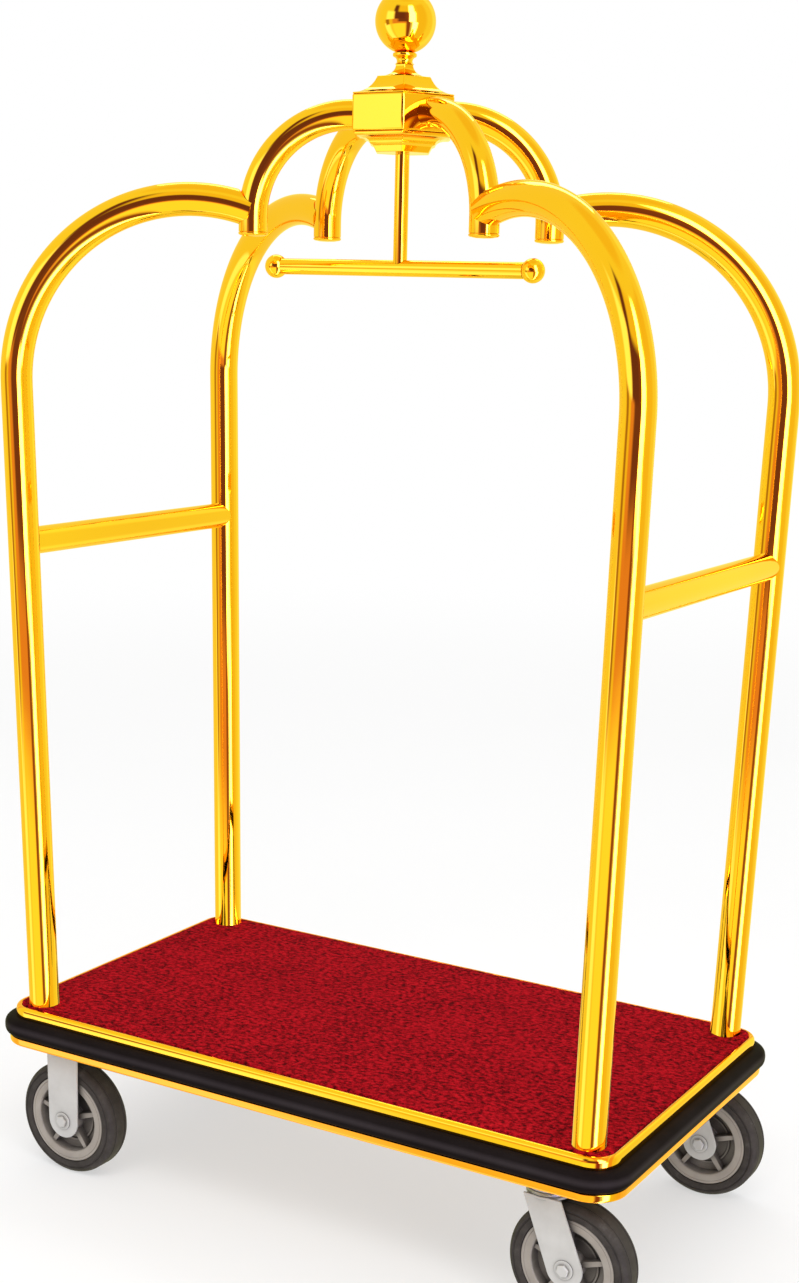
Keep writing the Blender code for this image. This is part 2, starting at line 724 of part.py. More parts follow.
def make_wheel(corner, x, y, core_pattern, pivot, parts):
    """The wheel's pieces hang on an empty on the axle, whose Z axis lies along it."""
    wheel = bpy.data.objects.new(f"wheel_axis_{corner}", None)
    wheel.location = (x, y, AXLE_Z)
    wheel.rotation_euler = (math.pi / 2, 0, 0)
    parts.objects.link(wheel)
    if pivot:
        wheel.parent = pivot
        wheel.location -= pivot.location

    core = bpy.data.objects.new(f"wheel_core_{corner}", core_pattern.data.copy())
    parts.objects.link(core)
    core.parent = wheel
    finish(core, WHEEL_GREY, 0.55)

    outer = WHEEL_RADIUS / math.cos(HALF_FACET)
    half = TYRE_HALF_WIDTH
    tyre = turned(
        f"tyre_{corner}",
        [(TYRE_INNER_RADIUS, half), (outer - 0.010, half), (outer - 0.003, half - 0.003),
         (outer, half - 0.010), (outer, -half + 0.010), (outer - 0.003, -half + 0.003),
         (outer - 0.010, -half), (TYRE_INNER_RADIUS, -half)],
        WHEEL_SIDES,
        parts,
        closed=True,
        sides_turn=FLAT_DOWN,
    )
    tyre.parent = wheel
    finish(tyre, TYRE_RUBBER, 0.7)

    bush = turned(
        f"wheel_bush_{corner}",
        [(BUSH_RADIUS, BUSH_HALF_LENGTH), (BUSH_RADIUS, -BUSH_HALF_LENGTH),
         (BUSH_BORE, -BUSH_HALF_LENGTH), (BUSH_BORE, BUSH_HALF_LENGTH)],
        20,
        parts,
        closed=True,
    )
    bush.parent = wheel
    finish(bush, STEEL, 0.4, 0.8)


def make_axle(corner, x, y, parts, cutters):
    """A hexagon bolt from the front side, and its nut behind the fork."""
    outside = FORK_INNER_Y + FORK_WALL + GAP
    head, face = (x, y - outside - AXLE_HEAD_HEIGHT, AXLE_Z), (x, y - outside, AXLE_Z)
    bolt = cylinder(f"axle_bolt_{corner}", AXLE_HEAD_RADIUS, head, face, parts, 6)
    shank = cylinder(
        f"cut_shank_{corner}",
        AXLE_RADIUS,
        (x, y - outside - 0.003, AXLE_Z),
        (x, y + outside + 0.013, AXLE_Z),
        cutters,
        12,
    )
    boolean(bolt, shank, "UNION")
    finish(bolt, ZINC, 0.3, 0.9)
    face, end = (x, y + outside, AXLE_Z), (x, y + outside + AXLE_NUT_HEIGHT, AXLE_Z)
    nut = cylinder(f"axle_nut_{corner}", AXLE_HEAD_RADIUS, face, end, parts, 6)
    hole = cylinder(
        f"cut_nut_{corner}",
        AXLE_RADIUS + GAP,
        (x, y + outside - 0.01, AXLE_Z),
        (x, y + outside + 0.02, AXLE_Z),
        cutters,
        12,
    )
    boolean(nut, hole, "DIFFERENCE")
    finish(nut, ZINC, 0.3, 0.9)


def make_casters(parts, cutters):
    core_pattern = wheel_core_mesh(parts, cutters)
    for corner, (sx, sy) in CORNERS.items():
        y = sy * CASTER_Y
        pivot = None
        if sx < 0:
            axle_x = FIXED_X
            make_fixed_fork(corner, FIXED_X, y, parts, cutters)
        else:
            axle_x = make_swivel(corner, SWIVEL_X, y, parts, cutters)
            pivot = bpy.data.objects.new(f"swivel_axis_{corner}", None)
            pivot.location = (SWIVEL_X, y, 0)
            parts.objects.link(pivot)
        make_wheel(corner, axle_x, y, core_pattern, pivot, parts)
        make_axle(corner, axle_x, y, parts, cutters)
    bpy.data.objects.remove(core_pattern)


def main():
    clear_scene()
    parts = new_collection("hotel_luggage_cart")
    cutters = new_collection("cutters")
    make_deck(parts, cutters)
    make_posts(parts, cutters)
    make_crown(parts, cutters)
    neck_bottom, rod_top = make_hub(parts)
    make_finial(parts, neck_bottom)
    make_hanger(parts, cutters, rod_top)
    make_crossbars(parts, cutters)
    make_post_bolts(parts, cutters)
    make_casters(parts, cutters)


main()
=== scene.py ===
"""Looks of the hotel luggage cart: polished gold tube, red carpet, rubber bumper and casters."""

import math

import bmesh
import bpy
from mathutils import Matrix, Vector, noise


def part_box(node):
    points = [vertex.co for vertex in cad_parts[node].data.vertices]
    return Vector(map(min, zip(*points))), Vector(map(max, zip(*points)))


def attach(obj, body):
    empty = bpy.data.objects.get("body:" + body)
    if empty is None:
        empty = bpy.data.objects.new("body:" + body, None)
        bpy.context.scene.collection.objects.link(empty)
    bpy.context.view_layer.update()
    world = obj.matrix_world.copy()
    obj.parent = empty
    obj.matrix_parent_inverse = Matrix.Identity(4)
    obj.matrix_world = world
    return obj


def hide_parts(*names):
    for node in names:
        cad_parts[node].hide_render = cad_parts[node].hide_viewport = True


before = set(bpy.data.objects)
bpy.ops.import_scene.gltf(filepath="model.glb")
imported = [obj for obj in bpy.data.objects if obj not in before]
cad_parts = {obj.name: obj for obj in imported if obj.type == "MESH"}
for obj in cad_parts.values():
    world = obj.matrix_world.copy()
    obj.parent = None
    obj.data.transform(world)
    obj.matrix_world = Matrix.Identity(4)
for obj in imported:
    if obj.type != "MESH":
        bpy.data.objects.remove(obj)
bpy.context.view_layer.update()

# The deck's levels and outline come from the frame.
carpet_low, carpet_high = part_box("carpet")
upper_low, upper_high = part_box("deck_trim_upper")
lower_low, lower_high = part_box("deck_trim_lower")
bumper_low, bumper_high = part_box("bumper")
DECK_HALF_X, DECK_HALF_Y = upper_high.x, upper_high.y
DECK_CORNER = 0.045
TRIM_WIDTH = 0.010

# The birdcage's tubes and hub. The arch of each post runs a little past the leg it is fitted round, and
# each crown arch starts inside the hub, until both are cut to fit.
hub_low, hub_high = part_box("crown_hub")
POST_RADIUS = 0.0254
POST_X = 0.523
POST_Y = 0.272
POST_SPLAY = 0.020
POST_ARC_Z = 1.350
POST_ARC_RADIUS = 0.2847
POST_ARC_OVERRUN = 0.003
CROWN_RADIUS = 0.0225
CROWN_LEG_REACH = 0.2311
CROWN_STUB = 0.010
LEG_CUT_LEVELS = (1.5, 1.75)
HUB_APOTHEM = hub_high.y
CROSSBAR_RADIUS = 0.0225
CROSSBAR_Z = 1.098
GAP = 0.0003
CORNERS = {
    "front_left": (-1, -1),
    "front_right": (1, -1),
    "back_left": (-1, 1),
    "back_right": (1, 1),
}
REACH = math.hypot(POST_X, POST_Y)
POST_FOOT_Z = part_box("post_front_left")[0].z + 0.0005
CROWN_AXIS_Z = (hub_low.z + hub_high.z) / 2
CROWN_LEG_END_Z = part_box("crown_arch_front_left")[0].z

# Casters.
WHEEL_RADIUS = 0.100
FORK_INNER_Y = 0.030
FORK_WALL = 0.004
PLATE_THICKNESS = 0.0042
PLATE_BOLT_X = 0.0405
PLATE_BOLT_Y = 0.030
RIB_COUNT = 5
RIB_TURN = 19

# The carpet's grid, the gap round its post holes, and its pile: two sizes of noise, each with its
# frequency, its height and the level it is read at.
CARPET_GRID = 0.0042
CARPET_HOLE_GAP = 0.0004
PILE_DEPTH = 0.0009
PILE_NOISE = ((210, 0.00055, 0.3), (75, 0.00035, 4.0))
CARPET_EDGE_WIDTH = 0.004
CARPET_EDGE_DROP = 0.0012
CARPET_BACKING = 0.8

# How finely round shapes are drawn, the angle in degrees from which an edge is shaded sharp, how far a
# cutter reaches, and the widths of the casters' rounded edges.
TUBE_SIDES = 72
ROUND_STEPS = 96
CREASE = 38
CUT_REACH = 0.05
FINE_EDGE = 0.0003
PRESSED_EDGE = 0.0009


# ---------------------------------------------------------------- materials


def new_material(name):
    material = bpy.data.materials.new(name)
    material.use_nodes = True
    return material, material.node_tree, material.node_tree.nodes["Principled BSDF"]


def set_socket(socket, value):
    """Links the socket to another node's output, or gives it a constant."""
    if isinstance(value, bpy.types.NodeSocket):
        socket.id_data.links.new(value, socket)
    else:
        socket.default_value = value


def set_inputs(node, **values):
    """Sets a node's inputs by name. An underscore stands for a space in the name."""
    for name, value in values.items():
        set_socket(node.inputs[name.replace("_", " ")], value)


def add_node(tree, kind, **values):
    node = tree.nodes.new("ShaderNode" + kind)
    set_inputs(node, **values)
    return node


def object_coordinates(tree, scale=(1, 1, 1)):
    place = add_node(tree, "TexCoord")
    return add_node(tree, "Mapping", Vector=place.outputs["Object"], Scale=scale).outputs["Vector"]


def noise_texture(tree, vector, scale, detail=4.0, roughness=0.55):
    texture = add_node(tree, "TexNoise", Vector=vector, Scale=scale, Detail=detail, Roughness=roughness)
    return texture.outputs["Fac"]


def ramp(tree, factor, stops):
    """A colour ramp of (position, colour) stops."""
    node = add_node(tree, "ValToRGB", Fac=factor)
    elements = node.color_ramp.elements
    while len(elements) < len(stops):
        elements.new(0.5)
    for element, (position, colour) in zip(elements, stops):
        element.position = position
        element.color = (*colour, 1.0)
    return node.outputs["Color"]


def mix_colours(tree, factor, first, second):
    """Passes from the first colour to the second. Each is three numbers or a node's output."""
    mix = add_node(tree, "Mix")
    mix.data_type = "RGBA"
    first, second = ((*c, 1.0) if isinstance(c, tuple) else c for c in (first, second))
    set_inputs(mix, Factor=factor, A=first, B=second)
    return mix.outputs["Result"]


def calculate(tree, operation, *values):
    """A sum on numbers or other nodes' outputs."""
    node = add_node(tree, "Math")
    node.operation = operation
    for socket, value in zip(node.inputs, values):
        set_socket(socket, value)
    return node.outputs["Value"]


def spread(tree, factor, low, high):
    """The factor mapped to run from low to high."""
    return add_node(tree, "MapRange", Value=factor, To_Min=low, To_Max=high).outputs["Result"]


def with_painted_shade(tree, tone, shade_colour, reach, low, high=1.0):
    """The tone, turning to a painted shade in corners and recesses that are about as wide as the reach."""
    # Painted shade: ambient occlusion darkens the colour where shade falls in corners and recesses.
    openness = add_node(tree, "AmbientOcclusion", Distance=reach).outputs["AO"]
    return mix_colours(tree, spread(tree, openness, low, high), shade_colour, tone)


def bump(tree, height, strength, distance):
    return add_node(tree, "Bump", Height=height, Strength=strength, Distance=distance).outputs["Normal"]


def gold_material(name, roughness=0.035):
    """Mirror-polished gold plating: a little uneven in tone, with faint wiping marks."""
    material, tree, shader = new_material(name)
    vector = object_coordinates(tree)
    broad = noise_texture(tree, vector, 2.4, 2.0)
    marks = noise_texture(tree, object_coordinates(tree, (1, 1, 0.35)), 26.0, 6.0, 0.7)
    set_inputs(
        shader,
        Base_Color=ramp(tree, broad, [(0.3, (0.97, 0.49, 0.004)), (0.7, (1.0, 0.55, 0.007))]),
        Roughness=spread(tree, marks, roughness * 0.5, roughness * 1.9),
        Normal=bump(tree, noise_texture(tree, vector, 9.0, 2.0), 0.05, 0.002),
        Metallic=1.0,
        Specular_Tint=(1.0, 0.78, 0.22, 1.0),
        Coat_Weight=0.6,
        Coat_Roughness=0.03,
    )
    return material


def trim_gold_material():
    """The same plating on the deck's strips, with painted reflections: orange and yellow stripes by
    distance from the deck's side.
    """
    material = gold_material("polished_gold_trim")
    tree = material.node_tree
    split = add_node(tree, "SeparateXYZ", Vector=object_coordinates(tree))
    beyond = [
        calculate(tree, "SUBTRACT", calculate(tree, "ABSOLUTE", split.outputs[axis]), half)
        for axis, half in (("X", DECK_HALF_X), ("Y", DECK_HALF_Y))
    ]
    outward = calculate(tree, "MAXIMUM", *beyond)
    place = add_node(tree, "MapRange", Value=outward, From_Min=-0.012, From_Max=0.014).outputs["Result"]
    # Painted reflection: the orange stripes stand in for warm reflections along the polished strips.
    painted_reflection_orange, yellow = (0.98, 0.30, 0.004), (0.99, 0.53, 0.005)
    tint = [(0.02, painted_reflection_orange), (0.10, yellow), (0.14, painted_reflection_orange), (0.22, painted_reflection_orange), (0.27, yellow), (0.50, yellow)]
    tint += [(0.80, (1.0, 0.36, 0.004))]
    set_inputs(tree.nodes["Principled BSDF"], Base_Color=ramp(tree, place, tint))
    return material


def bumper_material():
    """Black extruded rubber with a fine lengthwise grain and dust, with a painted sheen: paler along its
    middle.
    """
    material, tree, shader = new_material("bumper_rubber")
    vector = object_coordinates(tree)
    dust = noise_texture(tree, vector, 7.0, 6.0, 0.65)
    plain_tone = ramp(tree, dust, [(0.35, (0.0085, 0.0060, 0.0062)), (0.75, (0.0140, 0.0105, 0.0110))])
    painted_sheen = ramp(tree, dust, [(0.35, (0.026, 0.020, 0.022)), (0.75, (0.036, 0.029, 0.031))])
    # Painted sheen: a paler band along the middle of the bumper's height stands in for its soft highlight.
    up = add_node(tree, "SeparateXYZ", Vector=vector).outputs["Z"]
    level = add_node(tree, "MapRange", Value=up, From_Min=bumper_low.z, From_Max=bumper_high.z)
    black, white = (0.0, 0.0, 0.0), (1.0, 1.0, 1.0)
    across = [(0.38, black), (0.56, white), (0.64, white), (0.82, black)]
    middle = ramp(tree, level.outputs["Result"], across)
    grain = noise_texture(tree, object_coordinates(tree, (1, 1, 30)), 60.0, 3.0)
    set_inputs(
        shader,
        Base_Color=mix_colours(tree, middle, plain_tone, painted_sheen),
        Roughness=spread(tree, dust, 0.34, 0.50),
        Normal=bump(tree, grain, 0.12, 0.0006),
        Specular_IOR_Level=0.008,
    )
    return material


def tyre_material():
    """Dark grey solid rubber with paler scuffs, and painted shade darkening its grooves."""
    material, tree, shader = new_material("tyre_rubber")
    vector = object_coordinates(tree)
    scuffs = noise_texture(tree, vector, 34.0, 8.0, 0.7)
    tone = [(0.30, (0.036, 0.031, 0.029)), (0.58, (0.060, 0.052, 0.048)), (0.80, (0.120, 0.108, 0.100))]
    # Painted shade: the tyre's grooves are darkened by ambient occlusion.
    set_inputs(
        shader,
        Base_Color=with_painted_shade(tree, ramp(tree, scuffs, tone), (0.012, 0.010, 0.010), 0.006, -0.4),
        Roughness=spread(tree, scuffs, 0.42, 0.74),
        Normal=bump(tree, noise_texture(tree, vector, 420.0, 3.0), 0.35, 0.0004),
        Specular_IOR_Level=0.05,
    )
    return material


def wheel_material():
    """Taupe moulded plastic with a fine texture and faint flow marks, with painted shade darkening it
    between its ribs.
    """
    material, tree, shader = new_material("wheel_plastic")
    vector = object_coordinates(tree)
    flow = noise_texture(tree, vector, 16.0, 5.0, 0.6)
    tone = ramp(tree, flow, [(0.3, (0.290, 0.256, 0.226)), (0.75, (0.400, 0.356, 0.318))])
    # Painted shade: the recesses between the ribs are darkened by ambient occlusion.
    set_inputs(
        shader,
        Base_Color=with_painted_shade(tree, tone, (0.060, 0.051, 0.046), 0.036, -0.45, 1.08),
        Roughness=spread(tree, flow, 0.40, 0.62),
        Normal=bump(tree, noise_texture(tree, vector, 600.0, 2.0), 0.2, 0.0002),
        Specular_IOR_Level=0.2,
    )
    return material


def zinc_material():
    """Pale satin zinc plating with soft crystalline mottling, with painted shade darkening its corners."""
    material, tree, shader = new_material("zinc_plate")
    vector = object_coordinates(tree)
    crystals = add_node(tree, "TexVoronoi", Vector=vector, Scale=240.0)
    cloud = noise_texture(tree, vector, 22.0, 5.0, 0.6)
    tone = ramp(tree, cloud, [(0.3, (0.49, 0.475, 0.46)), (0.7, (0.57, 0.555, 0.54))])
    # Painted shade: corners and recesses of the zinc parts are darkened by ambient occlusion.
    set_inputs(
        shader,
        Base_Color=with_painted_shade(tree, tone, (0.10, 0.092, 0.085), 0.006, -0.5),
        Roughness=spread(tree, crystals.outputs["Distance"], 0.36, 0.52),
        Normal=bump(tree, cloud, 0.10, 0.0006),
        Metallic=0.03,
        Specular_IOR_Level=0.12,
    )
    return material


def steel_material():
    """Plain turned steel with smeared patches."""
    material, tree, shader = new_material("steel")
    smears = noise_texture(tree, object_coordinates(tree), 40.0, 6.0, 0.65)
    set_inputs(
        shader,
        Base_Color=ramp(tree, smears, [(0.3, (0.30, 0.30, 0.31)), (0.75, (0.48, 0.48, 0.49))]),
        Roughness=spread(tree, smears, 0.28, 0.5),
        Normal=bump(tree, smears, 0.08, 0.0004),
        Metallic=0.9,
    )
    return material


def frame_steel_material():
    """Dark painted steel of the underframe, with a slight orange-peel surface."""
    material, tree, shader = new_material("frame_steel")
    vector = object_coordinates(tree)
    cloud = noise_texture(tree, vector, 6.0, 6.0, 0.6)
    set_inputs(
        shader,
        Base_Color=ramp(tree, cloud, [(0.3, (0.045, 0.045, 0.048)), (0.75, (0.085, 0.085, 0.090))]),
        Roughness=spread(tree, cloud, 0.35, 0.55),
        Normal=bump(tree, noise_texture(tree, vector, 300.0, 2.0), 0.25, 0.0004),
        Metallic=0.2,
    )
    return material


def plywood_material():
    """Birch plywood: long grain on its faces."""
    material, tree, shader = new_material("plywood")
    stretched = object_coordinates(tree, (0.25, 2.4, 8.0))
    wave = add_node(tree, "TexWave", Vector=stretched, Scale=3.0, Distortion=9.0)
    set_inputs(wave, Detail=4.0, Detail_Scale=1.6)
    wave.bands_direction = "Y"
    grain = wave.outputs["Fac"]
    set_inputs(
        shader,
        Base_Color=ramp(tree, grain, [(0.2, (0.50, 0.33, 0.17)), (0.8, (0.66, 0.47, 0.27))]),
        Roughness=0.7,
        Normal=bump(tree, grain, 0.15, 0.0005),
    )
    return material


def carpet_material():
    """Crimson cut pile: painted light and shade, bright on the tufts and dark in the hollows between them,
    and a soft sheen.
    """
    material, tree, shader = new_material("red_carpet")
    tufts = noise_texture(tree, object_coordinates(tree, (0.9, 1.15, 1)), 125.0, 4.0, 0.75)
    patches = noise_texture(tree, object_coordinates(tree), 9.0, 4.0, 0.6)
    mixed = calculate(tree, "MULTIPLY_ADD", patches, 0.10, tufts)
    tone = [(0.42, (0.040, 0.0010, 0.0024)), (0.50, (0.16, 0.0016, 0.0044))]
    tone += [(0.57, (0.285, 0.0030, 0.0076)), (0.68, (0.44, 0.0062, 0.0130))]
    # Painted shade: the colour follows the same noise as the pile's bump, darker in its hollows.
    set_inputs(
        shader,
        Base_Color=ramp(tree, mixed, tone),
        Roughness=0.95,
        Normal=bump(tree, tufts, 0.8, 0.003),
        Specular_IOR_Level=0.02,
        Sheen_Weight=0.015,
        Sheen_Roughness=0.5,
        Sheen_Tint=(1.0, 0.25, 0.25, 1.0),
    )
    return material


GOLD = gold_material("polished_gold")
GOLD_BALL = gold_material("polished_gold_ball", 0.02)
GOLD_TRIM = trim_gold_material()
BUMPER = bumper_material()
TYRE = tyre_material()
WHEEL = wheel_material()
ZINC = zinc_material()
STEEL = steel_material()
FRAME_STEEL = frame_steel_material()
PLYWOOD = plywood_material()
CARPET = carpet_material()


# ---------------------------------------------------------------- mesh tools


def piece(name, bm, material, replaces=(), body="cart_frame", crease=CREASE):
    """Makes an object of a bmesh, shades it, rides it on its body and hides the CAD parts it replaces."""
    bmesh.ops.recalc_face_normals(bm, faces=bm.faces)
    mesh = bpy.data.meshes.new(name)
    bm.to_mesh(mesh)
    bm.free()
    mesh.materials.append(material)
    mesh.shade_smooth()
    mesh.set_sharp_from_angle(angle=math.radians(crease))
    obj = bpy.data.objects.new(name, mesh)
    bpy.context.scene.collection.objects.link(obj)
    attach(obj, body)
    if replaces:
        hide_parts(*replaces)
    return obj


def bridge(bm, rings, closed=False):
    """Quads between rings of vertices, each ring a loop."""
    pairs = list(zip(rings, rings[1:]))
    if closed:
        pairs.append((rings[-1], rings[0]))
    for first, second in pairs:
        count = len(first)
        for index in range(count):
            after = (index + 1) % count
            bm.faces.new((first[index], first[after], second[after], second[index]))


def close_solid(bm, rings):
    """Joins rings of vertices into a solid and fills its two ends."""
    bridge(bm, rings)
    bm.faces.new(rings[0])
    bm.faces.new(rings[-1])
    return bm


def lathe(profile, steps=ROUND_STEPS, matrix=Matrix.Identity(4), closed=False, bm=None):
    """A solid of (radius, height) points turned about Z. A closed profile makes a ring with a hole."""
    bm = bm or bmesh.new()
    turn = 2 * math.pi / steps
    rings = []
    for radius, height in profile:
        circle = [(radius * math.cos(turn * i), radius * math.sin(turn * i), height) for i in range(steps)]
        rings.append([bm.verts.new(matrix @ Vector(spot)) for spot in circle])
    if not closed:
        return close_solid(bm, rings)
    bridge(bm, rings, closed=True)
    return bm


def softened(points, radius, closed=False, steps=4):
    """Replaces each corner of a chain of 2D points by an arc-like run of points."""
    count = len(points)
    out = []
    for index, point in enumerate(points):
        inner = closed or 0 < index < count - 1
        here = Vector(point)
        before, after = Vector(points[index - 1]), Vector(points[(index + 1) % count])
        if not inner:
            out.append(tuple(here))
            continue
        cut = min(radius, (before - here).length * 0.45, (after - here).length * 0.45)
        start = here + (before - here).normalized() * cut
        end = here + (after - here).normalized() * cut
        for step in range(steps + 1):
            t = step / steps
            spot = start * (1 - t) ** 2 + here * 2 * t * (1 - t) + end * t**2
            out.append(tuple(spot))
    return out


def sweep(path, radius, sides=TUBE_SIDES):
    """A round bar along a path of points that lies in one plane, with its ends closed."""
    bm = bmesh.new()
    path = [Vector(point) for point in path]
    span = path[-1] - path[0]
    normal = max(((point - path[0]).cross(span) for point in path), key=lambda v: v.length)
    if normal.length < 1e-9:
        normal = span.orthogonal()
    normal.normalize()
    turn = 2 * math.pi / sides
    rings = []
    for index, point in enumerate(path):
        before, after = path[max(index - 1, 0)], path[min(index + 1, len(path) - 1)]
        along = (after - before).normalized()
        side = normal.cross(along).normalized()
        rings.append([
            bm.verts.new(point + radius * (normal * math.cos(turn * i) + side * math.sin(turn * i)))
            for i in range(sides)
        ])
    return close_solid(bm, rings)


def ball_profile(radius, start, end, steps):
    """A ball's outline from one angle off its axis to another."""
    angles = [start + (end - start) * step / steps for step in range(steps + 1)]
    return [(radius * math.sin(angle), radius * math.cos(angle)) for angle in angles]


def rounded_rectangle(half_x, half_y, corner, steps=14):
    points = []
    for index, (sx, sy) in enumerate(((1, 1), (-1, 1), (-1, -1), (1, -1))):
        for step in range(steps + 1):
            angle = math.radians(90 * index + 90 * step / steps)
            x = sx * (half_x - corner) + corner * math.cos(angle)
            y = sy * (half_y - corner) + corner * math.sin(angle)
            points.append((x, y))
    return points


def rim_sweep(section, low):
    """A closed strip round the deck. Its section is (outward, upward) points from the deck's side."""
    bm = bmesh.new()
    rings = []
    for outward, upward in section:
        outline = rounded_rectangle(DECK_HALF_X + outward, DECK_HALF_Y + outward, DECK_CORNER + outward)
        rings.append([bm.verts.new((x, y, low + upward)) for x, y in outline])
    bridge(bm, rings, closed=True)
    return bm


def slab(outline, low, high, bm=None, matrix=Matrix.Identity(4)):
    """A flat plate with the outline of (x, y) points, from the height low to high."""
    bm = bm or bmesh.new()
    rings = [[bm.verts.new(matrix @ Vector((x, y, z))) for x, y in outline] for z in (low, high)]
    return close_solid(bm, rings)


def hex_ring(apothem, turn):
    radius = apothem / math.cos(math.radians(30))
    angles = [math.radians(60 * index) + turn for index in range(6)]
    return [(radius * math.cos(angle), radius * math.sin(angle)) for angle in angles]


def hex_stack(levels, bm=None, matrix=Matrix.Identity(4), turn=0.0):
    """A hexagonal solid from (apothem, height) levels."""
    bm = bm or bmesh.new()
    rings = [
        [bm.verts.new(matrix @ Vector((x, y, height))) for x, y in hex_ring(apothem, turn)]
        for apothem, height in levels
    ]
    return close_solid(bm, rings)


def add_bevel(obj, width, segments=3, angle=30):
    bevel = obj.modifiers.new("Edges", "BEVEL")
    bevel.width = width
    bevel.segments = segments
    bevel.limit_method = "ANGLE"
    bevel.angle_limit = math.radians(angle)


def add_cut(obj, cutter_bm, name):
    """Cuts a hidden shape out of a piece and applies the cut to its mesh."""
    bmesh.ops.recalc_face_normals(cutter_bm, faces=cutter_bm.faces)
    mesh = bpy.data.meshes.new(name)
    cutter_bm.to_mesh(mesh)
    cutter_bm.free()
    cutter = bpy.data.objects.new(name, mesh)
    bpy.context.scene.collection.objects.link(cutter)
    cut = obj.modifiers.new(name, "BOOLEAN")
    cut.operation = "DIFFERENCE"
    cut.solver = "EXACT"
    cut.object = cutter
    bpy.context.view_layer.update()
    evaluated = obj.evaluated_get(bpy.context.evaluated_depsgraph_get())
    result = bpy.data.meshes.new_from_object(evaluated)
    obj.modifiers.remove(cut)
    old = obj.data
    obj.data = result
    obj.data.set_sharp_from_angle(angle=math.radians(CREASE))
    bpy.data.meshes.remove(old)
    bpy.data.objects.remove(cutter)


# ---------------------------------------------------------------- birdcage


def gold_piece(name, bm, replaced=None, material=GOLD, crease=CREASE):
    return piece(name, bm, material, [replaced] if replaced else (), crease=crease)


def radial(corner, reach, height):
    """The point that far from the middle towards a corner post."""
    sx, sy = CORNERS[corner]
    return Vector((sx * POST_X / REACH * reach, sy * POST_Y / REACH * reach, height))


def post_reach(height):
    """How far from the middle a post's axis is at a height."""
    return REACH + POST_SPLAY * (height - upper_high.z)


def make_posts():
    """Four leaning tubes, each bent over at the top and fitted round its crown arch's leg."""
    splay = math.atan(POST_SPLAY)
    centre = post_reach(POST_ARC_Z) - POST_ARC_RADIUS * math.cos(splay)
    end = math.pi / 2 + math.asin((centre - CROWN_LEG_REACH - POST_ARC_OVERRUN) / POST_ARC_RADIUS)
    for corner in CORNERS:
        path = [
            radial(corner, post_reach(z), z)
            for z in (POST_FOOT_Z, POST_FOOT_Z + 0.3, POST_FOOT_Z + 0.6, POST_ARC_Z - 0.15)
        ]
        steps = 56
        for step in range(steps + 1):
            angle = -splay + (end + splay) * step / steps
            reach = centre + POST_ARC_RADIUS * math.cos(angle)
            height = POST_ARC_Z + POST_ARC_RADIUS * (math.sin(angle) + math.sin(splay))
            path.append(radial(corner, reach, height))
        post = gold_piece(f"post_tube_{corner}", sweep(path, POST_RADIUS), f"post_{corner}")
        leg_sides = [(CROWN_RADIUS + GAP, height) for height in LEG_CUT_LEVELS]
        place = Matrix.Translation(radial(corner, CROWN_LEG_REACH, 0))
        add_cut(post, lathe(leg_sides, TUBE_SIDES, place), "leg_cope")


def make_crown():
    """Four bends out of the hub, each with a domed cap in its lower end."""
    bend = CROWN_LEG_REACH - HUB_APOTHEM
    for corner in CORNERS:
        path = [radial(corner, HUB_APOTHEM - CROWN_STUB, CROWN_AXIS_Z)]
        steps = 40
        for step in range(steps + 1):
            angle = math.radians(90 * step / steps)
            reach = HUB_APOTHEM + bend * math.sin(angle)
            height = CROWN_AXIS_Z - bend + bend * math.cos(angle)
            path.append(radial(corner, reach, height))
        path.append(radial(corner, CROWN_LEG_REACH, CROWN_LEG_END_Z))
        arch = gold_piece(f"arch_tube_{corner}", sweep(path, CROWN_RADIUS), f"crown_arch_{corner}")
        reach = HUB_APOTHEM + GAP
        hub = hex_stack([(reach, hub_low.z - CUT_REACH), (reach, hub_high.z + CUT_REACH)])
        add_cut(arch, hub, "hub_cope")
        rim = CROWN_RADIUS
        profile = [(0, -0.0001), (rim - 0.0012, -0.0001), (rim - 0.0012, -0.0008), (rim + 0.0004, -0.0012),
                   (rim + 0.0004, -0.0035), (rim - 0.0015, -0.0052), (rim * 0.55, -0.0068), (0, -0.0074)]
        place = Matrix.Translation(radial(corner, CROWN_LEG_REACH, CROWN_LEG_END_Z))
        cap = lathe(softened(profile, 0.0008)[1:-1] + [(0.0005, -0.0074)], 64, place)
        gold_piece(f"arch_cap_{corner}", cap)


def hollow_levels(start, end, first=0, last=90, count=14):
    """Levels down a hollow, from one (apothem, height) out to the wider, lower one.

    The hollow is a part of a quarter turn: from the angle first, 0 being upright, to the angle last.
    """
    begin, finish = math.radians(first), math.radians(last)
    levels = []
    for step in range(count + 1):
        angle = begin + (finish - begin) * step / count
        out = (math.cos(begin) - math.cos(angle)) / (math.cos(begin) - math.cos(finish))
        down = (math.sin(angle) - math.sin(begin)) / (math.sin(finish) - math.sin(begin))
        levels.append((start[0] + (end[0] - start[0]) * out, start[1] + (end[1] - start[1]) * down))
    return levels


